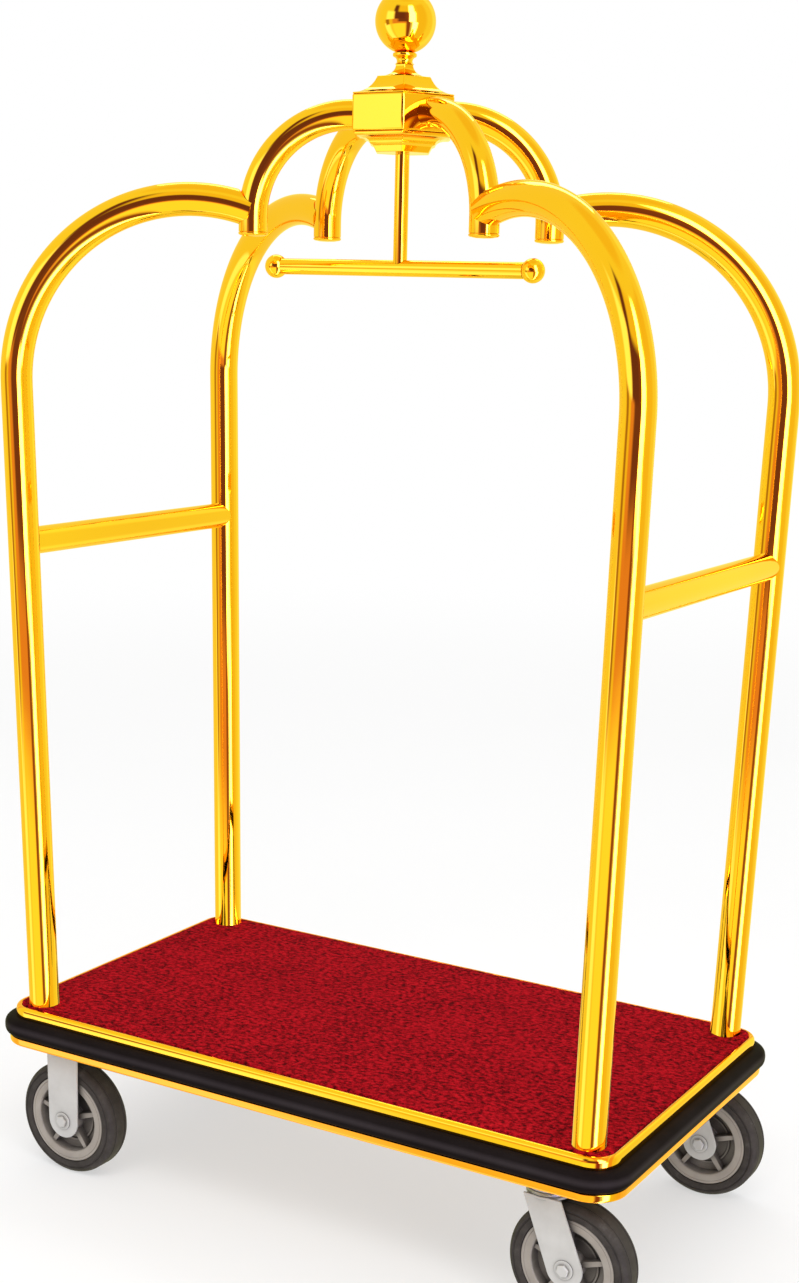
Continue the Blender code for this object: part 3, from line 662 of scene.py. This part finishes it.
def make_hub():
    """The hexagonal block with its tented roof above and its base below."""
    block = hex_stack([(HUB_APOTHEM, hub_low.z), (HUB_APOTHEM, hub_high.z)])
    hub = gold_piece("hub_block", block, "crown_hub", crease=20)
    add_bevel(hub, 0.0026, 2)

    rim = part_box("hub_roof")[0].z
    levels = hollow_levels((0.0130, rim + 0.0470), (0.0380, rim + 0.0282))
    levels += [(0.0402, rim + 0.0278), (0.0410, rim + 0.0262)]
    levels += hollow_levels((0.0422, rim + 0.0240), (0.0740, rim + 0.0022), 28, 84)
    levels += [(0.0766, rim + 0.0014), (0.0766, rim)]
    roof = gold_piece("roof_cap", hex_stack(levels), "hub_roof", crease=24)
    add_bevel(roof, 0.0006, 2, 24)

    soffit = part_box("hub_base")[1].z
    base = [(0.0720, soffit), (0.0735, soffit - 0.0010), (0.0735, soffit - 0.0045)]
    base += [(0.0705, soffit - 0.0060)]
    base += hollow_levels((0.0500, soffit - 0.0160), (0.0690, soffit - 0.0062))[::-1]
    base += [(0.0470, soffit - 0.0175), (0.0450, soffit - 0.0185), (0.0400, soffit - 0.0280)]
    bottom = gold_piece("base_cap", hex_stack(base), "hub_base", crease=24)
    add_bevel(bottom, 0.0008, 2, 24)


def make_finial():
    """The turned neck and the ball on it."""
    low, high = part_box("finial_neck")
    collar = high.z
    profile = [(0.0120, collar), (0.0178, collar - 0.0004), (0.0184, collar - 0.0022),
               (0.0184, collar - 0.0046), (0.0168, collar - 0.0062), (0.0146, collar - 0.0068),
               (0.0127, collar - 0.0092), (0.0119, collar - 0.0120), (0.0124, collar - 0.0142),
               (0.0138, low.z + 0.0010), (0.0148, low.z)]
    neck = lathe(softened(profile, 0.0012), 72)
    gold_piece("finial_stem", neck, "finial_neck")
    low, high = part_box("finial_ball")
    radius = (high.x - low.x) / 2
    centre = high.z - radius
    profile = ball_profile(radius, 0.004, math.acos((low.z - centre) / radius), 48)
    ball = lathe(profile, ROUND_STEPS, Matrix.Translation((0, 0, centre)))
    gold_piece("finial_globe", ball, "finial_ball", GOLD_BALL)


def make_hanger():
    """The rail under the hub, on its stem, with a ball at each end."""
    low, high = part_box("hanger_bar")
    radius, height = (high.z - low.z) / 2, (high.z + low.z) / 2
    bar = sweep([(low.x, 0, height), (0, 0, height), (high.x, 0, height)], radius, 48)
    gold_piece("hanger_rail", bar, "hanger_bar")
    low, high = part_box("hanger_rod")
    rod = gold_piece("hanger_stem", lathe([(high.x, high.z), (high.x, height)], 48), "hanger_rod")
    stretch = [(-CUT_REACH, 0, height), (CUT_REACH, 0, height)]
    add_cut(rod, sweep(stretch, radius + GAP, 48), "rail_cope")
    for side, sign in (("left", -1), ("right", 1)):
        low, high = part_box(f"hanger_ball_{side}")
        radius = (high.z - low.z) / 2
        tip = high.x if sign > 0 else low.x
        centre = tip - sign * radius
        seat = abs((low.x if sign > 0 else high.x) - centre)
        turn = Matrix.Translation((centre, 0, height)) @ Matrix.Rotation(sign * math.pi / 2, 4, "Y")
        knob = lathe(ball_profile(radius, 0.01, math.acos(-seat / radius), 30), 56, turn)
        gold_piece(f"hanger_knob_{side}", knob, f"hanger_ball_{side}", GOLD_BALL)


def make_crossbars():
    """A tube between the two posts at each end of the cart, fitted round both."""
    for side in ("left", "right"):
        corners = (f"front_{side}", f"back_{side}")
        ends = [radial(corner, post_reach(CROSSBAR_Z), CROSSBAR_Z) for corner in corners]
        bar = gold_piece(f"crossbar_tube_{side}", sweep(ends, CROSSBAR_RADIUS, 64), f"crossbar_{side}")
        for corner in corners:
            stretch = [radial(corner, post_reach(z), z) for z in (CROSSBAR_Z - 0.08, CROSSBAR_Z + 0.08)]
            add_cut(bar, sweep(stretch, POST_RADIUS + GAP, TUBE_SIDES), "post_cope")


# ---------------------------------------------------------------- deck


def make_trims():
    """The gold strips above and below the bumper."""
    width = TRIM_WIDTH
    tall = upper_high.z - upper_low.z
    upper = [(-width, 0), (-0.0006, 0), (0, 0.0006), (0, tall - 0.0075), (-0.0008, tall - 0.0040),
             (-0.0030, tall - 0.0012), (-0.0056, tall), (-0.0084, tall - 0.0004), (-width, tall - 0.0020)]
    strip = rim_sweep(softened(upper, 0.0011, closed=True), upper_low.z)
    gold_piece("trim_top_rail", strip, "deck_trim_upper", GOLD_TRIM)
    tall = lower_high.z - lower_low.z
    proud = lower_high.x - DECK_HALF_X
    lower = [(-width, 0), (proud - 0.0035, 0), (proud - 0.0010, 0.0012), (proud, 0.0042),
             (proud, tall - 0.0006), (proud - 0.0006, tall), (-width, tall)]
    strip = rim_sweep(softened(lower, 0.0010, closed=True), lower_low.z)
    gold_piece("trim_bottom_rail", strip, "deck_trim_lower", GOLD_TRIM)


def make_bumper():
    """A strip whose section bulges outwards, half of a slightly squared ellipse."""
    tall = bumper_high.z - bumper_low.z
    proud = bumper_high.x - DECK_HALF_X
    half = tall / 2
    squareness = 2.6
    steps = 26
    section = [(-TRIM_WIDTH, 0), (-TRIM_WIDTH * 0.4, 0)]
    for step in range(steps + 1):
        angle = math.radians(-90 + 180 * step / steps)
        out = abs(math.cos(angle)) ** (2 / squareness) * proud
        up = half + math.copysign(abs(math.sin(angle)) ** (2 / squareness), math.sin(angle)) * half
        section.append((out, up))
    section += [(-TRIM_WIDTH * 0.4, tall), (-TRIM_WIDTH, tall)]
    piece("bumper_strip", rim_sweep(section, bumper_low.z), BUMPER, ["bumper"])


def make_carpet():
    """The laid carpet: a fine grid fitted to the deck's outline, with its pile raised by noise."""
    half_x, half_y = carpet_high.x, carpet_high.y
    corner = DECK_CORNER - TRIM_WIDTH
    across, along = round(2 * half_x / CARPET_GRID), round(2 * half_y / CARPET_GRID)
    hole = POST_RADIUS + CARPET_HOLE_GAP
    holes = [radial(name, post_reach(carpet_high.z), 0).to_2d() for name in CORNERS]
    bm = bmesh.new()
    grid = []
    for i in range(across + 1):
        column = []
        for j in range(along + 1):
            spot = Vector((-half_x + 2 * half_x * i / across, -half_y + 2 * half_y * j / along))
            pull = Vector((max(abs(spot.x) - half_x + corner, 0), max(abs(spot.y) - half_y + corner, 0)))
            # In the square at a corner, points are drawn in to the corner's arc.
            if pull.x and pull.y:
                reach = max(pull.x, pull.y)
                pull = pull.normalized() * reach
                spot.x = math.copysign(half_x - corner + pull.x, spot.x)
                spot.y = math.copysign(half_y - corner + pull.y, spot.y)
            # Points close to the edge of a post's hole are moved onto it.
            for centre in holes:
                away = spot - centre
                if hole - CARPET_GRID * 0.55 < away.length < hole + CARPET_GRID * 0.55:
                    spot = centre + away.normalized() * hole
            column.append(bm.verts.new((spot.x, spot.y, 0)))
        grid.append(column)
    for i in range(across):
        for j in range(along):
            corners = (grid[i][j], grid[i + 1][j], grid[i + 1][j + 1], grid[i][j + 1])
            middle = sum((v.co.to_2d() for v in corners), Vector((0, 0))) / 4
            if all((middle - centre).length > hole - CARPET_GRID * 0.1 for centre in holes):
                bm.faces.new(corners)
    loose = [v for v in bm.verts if not v.link_faces]
    bmesh.ops.delete(bm, geom=loose, context="VERTS")
    thick = carpet_high.z - carpet_low.z
    for vert in bm.verts:
        x, y = vert.co.x, vert.co.y
        pile = sum(noise.noise(Vector((x, y, z)) * rate) * height for rate, height, z in PILE_NOISE)
        edge = min(half_x - abs(x), half_y - abs(y))
        drop = CARPET_EDGE_DROP * max(0.0, 1 - edge / CARPET_EDGE_WIDTH)
        vert.co.z = carpet_high.z - PILE_DEPTH + pile - drop
    obj = piece("carpet_pile", bm, CARPET, ["carpet"], crease=180)
    solid = obj.modifiers.new("Backing", "SOLIDIFY")
    solid.thickness = thick * CARPET_BACKING
    solid.offset = -1.0
    obj.visible_glossy = False


def frame_node(name):
    return bpy.data.objects[name]


def make_underside():
    """The board and the steel frame under it are the CAD's own, in better materials."""
    for name, material in (("deck_board", PLYWOOD), ("underframe", FRAME_STEEL)):
        node = frame_node(name)
        node.data.materials[0] = material
        node.visible_glossy = False


# ---------------------------------------------------------------- casters


def leg_outline(top, half_width, axle_x, end_radius, steps=28):
    """A fork leg's side view: a straight top edge and a round end about the axle."""
    top_x, top_z = top
    points = [(top_x + half_width, top_z), (top_x - half_width, top_z)]
    tangents = []
    for x, sign in ((top_x - half_width, 1), (top_x + half_width, -1)):
        dx, dz = x - axle_x, top_z - WHEEL_RADIUS
        distance = math.hypot(dx, dz)
        tangents.append(math.atan2(dz, dx) + sign * math.acos(end_radius / distance))
    first, last = tangents[0], tangents[1] + 2 * math.pi
    for step in range(steps + 1):
        angle = first + (last - first) * step / steps
        points.append((axle_x + end_radius * math.cos(angle), WHEEL_RADIUS + end_radius * math.sin(angle)))
    return points


def fork_legs(bm, outline, y):
    """Both legs of a fork, one on each side of the wheel."""
    stand = Matrix.Translation((0, y, 0)) @ Matrix.Rotation(math.pi / 2, 4, "X")
    for side in (-1, 1):
        low, high = sorted((side * FORK_INNER_Y, side * (FORK_INNER_Y + FORK_WALL)))
        slab(outline, -high, -low, bm, stand)


def top_plate(low, high):
    """The plate that a caster is bolted on by, in the upper part of the box from low to high."""
    x, y = (low.x + high.x) / 2, (low.y + high.y) / 2
    half_x, half_y = (high.x - low.x) / 2, (high.y - low.y) / 2
    outline = [(x + px, y + py) for px, py in rounded_rectangle(half_x, half_y, 0.008, 6)]
    return slab(outline, high.z - PLATE_THICKNESS, high.z)


def plate_bolts(name, x, y, top):
    """Washer and hexagon head of each plate bolt."""
    bm = bmesh.new()
    for index, (dx, dy) in enumerate(((-1, -1), (-1, 1), (1, -1), (1, 1))):
        place = Matrix.Translation((x + dx * PLATE_BOLT_X, y + dy * PLATE_BOLT_Y, 0))
        lathe([(0.0084, top), (0.0084, top - 0.0014)], 32, place, bm=bm)
        head = [(0.0064, top - 0.0012), (0.0064, top - 0.0050), (0.0054, top - 0.0058)]
        hex_stack(head, bm, place, turn=0.4 * index)
    obj = piece(name, bm, ZINC, crease=25)
    add_bevel(obj, FINE_EDGE, 2)


def make_fixed_fork(corner):
    """Plate and legs in one. Gives the axle's place and the body that carries it."""
    node = f"fixed_fork_{corner}"
    low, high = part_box(node)
    x, y = (low.x + high.x) / 2, (low.y + high.y) / 2
    bm = top_plate(low, high)
    outline = leg_outline(top=(x, high.z - 0.001), half_width=0.033, axle_x=x, end_radius=0.031)
    fork_legs(bm, outline, y)
    fork = piece(f"rigid_fork_{corner}", bm, ZINC, [node], crease=25)
    add_bevel(fork, PRESSED_EDGE, 3)
    plate_bolts(f"rigid_fork_bolts_{corner}", x, y, high.z - PLATE_THICKNESS)
    return x, y, "cart_frame"


def make_swivel_fork(corner):
    """Top plate, ball race and turning fork. Gives the axle's place and the body that carries it."""
    plate_low, plate_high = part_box(f"swivel_plate_{corner}")
    x, y = (plate_low.x + plate_high.x) / 2, (plate_low.y + plate_high.y) / 2
    bm = top_plate(plate_low, plate_high)
    under = plate_high.z - PLATE_THICKNESS
    dish = [(0.0320, under + 0.001), (0.0330, under - 0.0020), (0.0352, plate_low.z + 0.0030),
            (0.0352, plate_low.z), (0.0340, plate_low.z)]
    place = Matrix.Translation((x, y, 0))
    lathe(softened(dish, 0.001), 72, place, bm=bm)
    plate = piece(f"top_plate_{corner}", bm, ZINC, [f"swivel_plate_{corner}"], crease=25)
    add_bevel(plate, 0.0008, 2)
    plate_bolts(f"top_plate_bolts_{corner}", x, y, under)

    body = f"swivel_{corner}"
    low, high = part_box(f"swivel_race_{corner}")
    outer = high.x - x
    middle = (low.z + high.z) / 2
    ring = [(outer - 0.0020, high.z), (outer - 0.0006, high.z - 0.0010), (outer, middle + 0.0010),
            (outer - 0.0012, middle), (outer, middle - 0.0010), (outer - 0.0006, low.z + 0.0010),
            (outer - 0.0020, low.z), (0.0200, low.z), (0.0200, high.z)]
    piece(
        f"ball_race_{corner}", lathe(softened(ring, 0.0005, True), 72, place, closed=True),
        STEEL, [f"swivel_race_{corner}"], body,
    )

    node = f"swivel_fork_{corner}"
    fork_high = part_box(node)[1]
    leg_end = 0.030
    axle_x = fork_high.x - leg_end
    top = fork_high.z
    disc = [(0.0345, top), (0.0360, top - 0.0012), (0.0360, top - 0.0047)]
    disc += [(0.0120, top - 0.0047), (0.0120, top)]
    bm = lathe(softened(disc, 0.0006, True), 72, place, closed=True)
    outline = leg_outline(top=(x + 0.003, top - 0.001), half_width=0.031, axle_x=axle_x, end_radius=leg_end)
    fork_legs(bm, outline, y)
    fork = piece(f"turning_fork_{corner}", bm, ZINC, [node], body, crease=25)
    add_bevel(fork, PRESSED_EDGE, 3)
    return axle_x, y, body


def make_axle(corner, x, body):
    """Flanged hexagon bolt at the front of the fork and a lock nut behind it."""
    turn = Matrix.Translation((x, 0, WHEEL_RADIUS)) @ Matrix.Rotation(math.pi / 2, 4, "X")
    low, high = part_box(f"axle_bolt_{corner}")
    face = low.y + 0.0070
    flange = [(0.0145, -face), (0.0157, -face + 0.0005), (0.0150, -face + 0.0016), (0.0110, -face + 0.0022)]
    bm = lathe(softened(flange, 0.0004), 64, turn)
    head = [(0.0092, -face + 0.0015), (0.0092, -face + 0.0055), (0.0078, -face + 0.0068)]
    hex_stack(head, bm, turn, 0.25)
    lathe([(0.0059, -face - 0.002), (0.0059, -high.y + 0.0010), (0.0051, -high.y)][::-1], 40, turn, bm=bm)
    bolt = piece(f"axle_screw_{corner}", bm, ZINC, [f"axle_bolt_{corner}"], body, crease=25)
    add_bevel(bolt, FINE_EDGE, 2)
    low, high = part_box(f"axle_nut_{corner}")
    washer = [(0.0063, -low.y), (0.0145, -low.y), (0.0150, -low.y - 0.0012), (0.0110, -low.y - 0.0018)]
    washer += [(0.0063, -low.y - 0.0018)]
    bm = lathe(softened(washer, 0.0003, True), 64, turn, closed=True)
    flats = [(0.0092, -low.y - 0.0016), (0.0092, -high.y + 0.0025), (0.0080, -high.y + 0.0012)]
    hex_stack(flats, bm, turn, 0.1)
    lathe([(0.0078, -high.y + 0.0014), (0.0074, -high.y), (0.0062, -high.y)], 48, turn, bm=bm)
    nut = piece(f"lock_nut_{corner}", bm, ZINC, [f"axle_nut_{corner}"], body, crease=25)
    add_bevel(nut, FINE_EDGE, 2)


def make_wheel(corner, x, y):
    """Solid tyre on a ribbed core. The wheel's own axis is Z until it is turned on its side."""
    body = f"wheel_{corner}"
    turn = Matrix.Translation((x, y, WHEEL_RADIUS)) @ Matrix.Rotation(math.pi / 2, 4, "X")
    outer, inner, half = WHEEL_RADIUS, 0.0780, 0.0250
    tyre = [(inner, half - 0.0022), (inner + 0.0014, half - 0.0004), (inner + 0.0040, half),
            (outer - 0.0120, half), (outer - 0.0112, half - 0.0014), (outer - 0.0096, half - 0.0014),
            (outer - 0.0088, half - 0.0002), (outer - 0.0052, half - 0.0018),
            (outer - 0.0014, half - 0.0062), (outer, half - 0.0100), (outer, half - 0.0120),
            (outer - 0.0012, half - 0.0128), (outer - 0.0012, half - 0.0142), (outer, half - 0.0150)]
    tyre += [(radius, -height) for radius, height in tyre[::-1]]
    piece(
        f"solid_tyre_{corner}", lathe(softened(tyre, 0.0020, True), ROUND_STEPS, turn, closed=True),
        TYRE, [f"tyre_{corner}"], body, crease=50,
    )

    rim, web, hub, bore = inner - GAP, 0.0600, 0.0210, 0.0134
    side = 0.0235
    core = [(rim, side - 0.0010), (rim - 0.0012, side), (rim - 0.0042, side), (rim - 0.0050, side - 0.0008),
            (rim - 0.0058, side), (web + 0.0016, side), (web, side - 0.0018), (web - 0.0020, 0.0045),
            (0.0460, 0.0040), (0.0452, 0.0072), (0.0418, 0.0072), (0.0410, 0.0040),
            (hub + 0.0030, 0.0040), (hub + 0.0010, 0.0270), (hub, 0.0280), (bore, 0.0280)]
    core += [(radius, -height) for radius, height in core[::-1]]
    bm = lathe(softened(core, 0.0007, True, 3), ROUND_STEPS, turn, closed=True)
    root, tip = hub + 0.0005, web + 0.0010
    rib = [(root, -0.0046), (tip, -0.0040), (tip, 0.0040), (root, 0.0046)]
    for index in range(RIB_COUNT):
        angle = math.radians(360 / RIB_COUNT * index + RIB_TURN)
        for face in (-1, 1):
            foot, top = sorted((face * 0.0030, face * 0.0185))
            slab(rib, foot, top, bm, turn @ Matrix.Rotation(angle, 4, "Z"))
    node = f"wheel_core_{corner}"
    centre = piece(f"wheel_centre_{corner}", bm, WHEEL, [node], body, crease=30)
    add_bevel(centre, 0.0006, 2, 60)
    bush = [(0.0130, 0.0285), (0.0130, -0.0285), (0.0066, -0.0285), (0.0066, 0.0285)]
    piece(
        f"bearing_bush_{corner}", lathe(softened(bush, 0.0005, True), 64, turn, closed=True),
        STEEL, [f"wheel_bush_{corner}"], body,
    )


def make_casters():
    """Fixed casters on the left, swivel casters on the right, and the steel of the CAD's own bolts."""
    for corner in CORNERS:
        swivels = "right" in corner
        x, y, body = make_swivel_fork(corner) if swivels else make_fixed_fork(corner)
        make_axle(corner, x, body)
        make_wheel(corner, x, y)
        if swivels:
            frame_node(f"kingpin_{corner}").data.materials[0] = STEEL
        frame_node(f"post_bolt_{corner}").data.materials[0] = ZINC


# ---------------------------------------------------------------- studio


# What the polished metal mirrors, in bands stacked from low to high. Each band has a brightness or
# colour at each compass angle, in degrees round from +X towards +Y. The dark flats stand in front of
# the cart, on both sides of the camera, between white, amber and bright walls.
PEAK = 16.0
WALL = (1.0, 1.07, 0.40)
BRIGHT = (1.35, 1.32, 0.6)
PALE = (1.65, 1.75, 2.3)
STRIP = (10.0, 9.6, 14.0)
GREY = (0.80, 0.85, 1.6)
AMBER = (0.96, 0.87, 0.22)
ORANGE = (0.82, 0.38, 0.30)
SHADE = (0.42, 0.26, 0.14)
MAROON = (0.28, 0.09, 0.12)
DARK = (0.18, 0.066, 0.15)
BLACK = (0.150, 0.052, 0.14)
BACK_WALL = [(-180, WALL), (-148, WALL)]
LEFT_FLAT = [(-136, SHADE), (-128, SHADE), (-121, AMBER), (-115, AMBER), (-106, ORANGE)]
LOW_CORNER = [(-53, MAROON), (-43, MAROON), (-38, GREY), (-33, GREY), (-29, STRIP), (-15, STRIP)]
LOW_CORNER += [(-9, WALL)]
HIGH_CORNER = [(-47, MAROON), (-42, STRIP), (-24, STRIP), (-17, WALL)]
RIGHT_WALL = [(-6, AMBER), (22, AMBER), (36, WALL), (60, WALL), (66, BRIGHT), (80, BRIGHT), (96, WALL)]
LOW_BAND = BACK_WALL + [(-142, PALE), (-126, PALE), (-117, WALL), (-106, BRIGHT), (-62, BRIGHT)]
LOW_BAND += LOW_CORNER + RIGHT_WALL
MIDDLE_BAND = BACK_WALL + [(-142, PALE)] + LEFT_FLAT + [(-58, ORANGE)] + LOW_CORNER + RIGHT_WALL
UPPER_BAND = BACK_WALL + [(-142, AMBER)] + LEFT_FLAT + [(-94, ORANGE), (-83, DARK), (-56, DARK)]
UPPER_BAND += HIGH_CORNER + RIGHT_WALL
HIGH_BAND = [(-180, WALL), (-140, WALL), (-132, PALE), (-108, PALE), (-99, BLACK), (-66, BLACK)]
HIGH_BAND += HIGH_CORNER + RIGHT_WALL
TOP_BAND = [(-180, WALL), (-112, WALL), (-104, BLACK), (-93, BLACK), (-84, AMBER), (-50, AMBER)]
TOP_BAND += [(-44, STRIP), (-29, STRIP), (-22, WALL)] + RIGHT_WALL
# The elevations, in degrees, over which each band passes into the next, then into white and amber.
BAND_SPANS = ((-16, -11), (-9.5, -6), (0.5, 3.5), (22, 30), (44, 54), (62, 76))
EVEN_LIGHT = (0.9, 0.9, 0.9)
BACKDROP = (1.0, 1.0, 1.0)
LIGHT_TARGET = (0, 0, 1.0)

# The camera stands in front of the cart's right end. Its angles are in degrees.
CAMERA_PLACE = (1.592, -2.666, 1.497)
CAMERA_ANGLES = (29.97, 14.63, 1.56)
CAMERA_LENS = 53.69
CAMERA_SHIFT = (-0.0126, 0.1235)


def make_floor():
    """A wide pale floor that fades into the backdrop far from the cart."""
    bm = bmesh.new()
    bmesh.ops.create_circle(bm, cap_ends=True, segments=128, radius=60.0)
    mesh = bpy.data.meshes.new("studio_floor")
    bm.to_mesh(mesh)
    bm.free()
    material, tree, shader = new_material("studio_floor")
    vector = object_coordinates(tree)
    tone = [(0.3, (0.84, 0.84, 0.84)), (0.7, (0.86, 0.86, 0.86))]
    base = ramp(tree, noise_texture(tree, vector, 0.6, 2.0), tone)
    set_inputs(shader, Base_Color=base, Roughness=0.9, Specular_IOR_Level=0.1)
    distance = add_node(tree, "VectorMath")
    distance.operation = "LENGTH"
    set_socket(distance.inputs[0], vector)
    away = distance.outputs["Value"]
    fade = add_node(tree, "MapRange", Value=away, From_Min=2.0, From_Max=7.5, To_Min=0.52)
    fade.interpolation_type = "SMOOTHSTEP"
    glow = add_node(tree, "Emission", Color=(*BACKDROP, 1.0))
    mix = add_node(tree, "MixShader", Fac=fade.outputs["Result"])
    set_socket(mix.inputs[1], shader.outputs["BSDF"])
    set_socket(mix.inputs[2], glow.outputs["Emission"])
    set_inputs(tree.nodes["Material Output"], Surface=mix.outputs["Shader"])
    mesh.materials.append(material)
    floor = bpy.data.objects.new("studio_floor", mesh)
    bpy.context.scene.collection.objects.link(floor)
    floor.visible_glossy = False


def area_light(name, location, size, radiance, mirrored):
    """A soft box aimed at the cart. Its power follows from its size and how bright its face looks."""
    light = bpy.data.lights.new(name, "AREA")
    light.shape = "RECTANGLE"
    light.size, light.size_y = size
    light.energy = radiance * math.pi * size[0] * size[1]
    obj = bpy.data.objects.new(name, light)
    obj.location = location
    obj.rotation_mode = "QUATERNION"
    obj.rotation_quaternion = (Vector(LIGHT_TARGET) - location).to_track_quat("-Z", "Y")
    obj.visible_glossy = mirrored
    bpy.context.scene.collection.objects.link(obj)


def around(azimuth, elevation, distance):
    """A place that far from the cart's middle, in a compass direction and at an elevation."""
    a, e = math.radians(azimuth), math.radians(elevation)
    direction = Vector((math.cos(e) * math.cos(a), math.cos(e) * math.sin(a), math.sin(e)))
    return direction * distance + Vector((0, 0, 0.9))


def share_of_peak(colour):
    return tuple(part / PEAK for part in colour)


def compass_band(tree, compass, stops):
    """The room's colours round the compass, as a share of the brightest."""
    return ramp(tree, compass, [((angle + 180) / 360, share_of_peak(colour)) for angle, colour in stops])


def blend_by_height(tree, height, span, below, above):
    """Passes from one colour to another over a span of elevations in degrees."""
    first, last = (math.sin(math.radians(elevation)) for elevation in span)
    step = add_node(tree, "MapRange", Value=height, From_Min=first, From_Max=last)
    step.interpolation_type = "SMOOTHSTEP"
    return mix_colours(tree, step.outputs["Result"], below, above)


def make_world():
    """White for the camera, even light for matt surfaces, and the banded room for the metal."""
    world = bpy.data.worlds.new("studio")
    world.use_nodes = True
    bpy.context.scene.world = world
    tree = world.node_tree
    direction = add_node(tree, "TexCoord").outputs["Generated"]
    gradient = add_node(tree, "TexGradient", Vector=direction)
    gradient.gradient_type = "RADIAL"
    height = add_node(tree, "SeparateXYZ", Vector=direction).outputs["Z"]
    bands = (LOW_BAND, MIDDLE_BAND, UPPER_BAND, HIGH_BAND, TOP_BAND)
    room, *above = [compass_band(tree, gradient.outputs["Fac"], stops) for stops in bands]
    above += [share_of_peak(WALL), share_of_peak(AMBER)]
    for span, colour in zip(BAND_SPANS, above):
        room = blend_by_height(tree, height, span, room, colour)
    path = add_node(tree, "LightPath")
    seen = mix_colours(tree, path.outputs["Is Glossy Ray"], share_of_peak(EVEN_LIGHT), room)
    seen = mix_colours(tree, path.outputs["Is Camera Ray"], seen, share_of_peak(BACKDROP))
    set_inputs(tree.nodes["Background"], Color=seen, Strength=PEAK)


def make_lights():
    """Soft boxes at the right, over the camera and behind. Only the one behind shows in the metal."""
    area_light("side_box", around(-26, 14, 4.4), (0.9, 3.0), 4.0, mirrored=False)
    area_light("front_box", around(-66, 50, 4.2), (3.6, 1.1), 6.0, mirrored=False)
    area_light("back_box", around(118, 54, 4.4), (3.0, 0.9), 4.0, mirrored=True)


def make_camera():
    """Looks down across the deck from in front of the cart's right end, at the height of the arches."""
    camera = bpy.data.cameras.new("camera")
    camera.sensor_width = 36.0
    camera.lens = CAMERA_LENS
    camera.shift_x, camera.shift_y = CAMERA_SHIFT
    obj = bpy.data.objects.new("camera", camera)
    yaw, pitch, roll = (math.radians(angle) for angle in CAMERA_ANGLES)
    turn = Matrix.Rotation(yaw, 4, "Z") @ Matrix.Rotation(math.pi / 2 - pitch, 4, "X")
    turn = turn @ Matrix.Rotation(roll, 4, "Z")
    obj.matrix_world = Matrix.Translation(CAMERA_PLACE) @ turn
    bpy.context.scene.collection.objects.link(obj)
    bpy.context.scene.camera = obj


make_camera()
make_posts()
make_crown()
make_hub()
make_finial()
make_hanger()
make_crossbars()
make_trims()
make_bumper()
make_carpet()
make_underside()
make_casters()
make_floor()
make_world()
make_lights()
bpy.context.scene.view_settings.view_transform = "Standard"
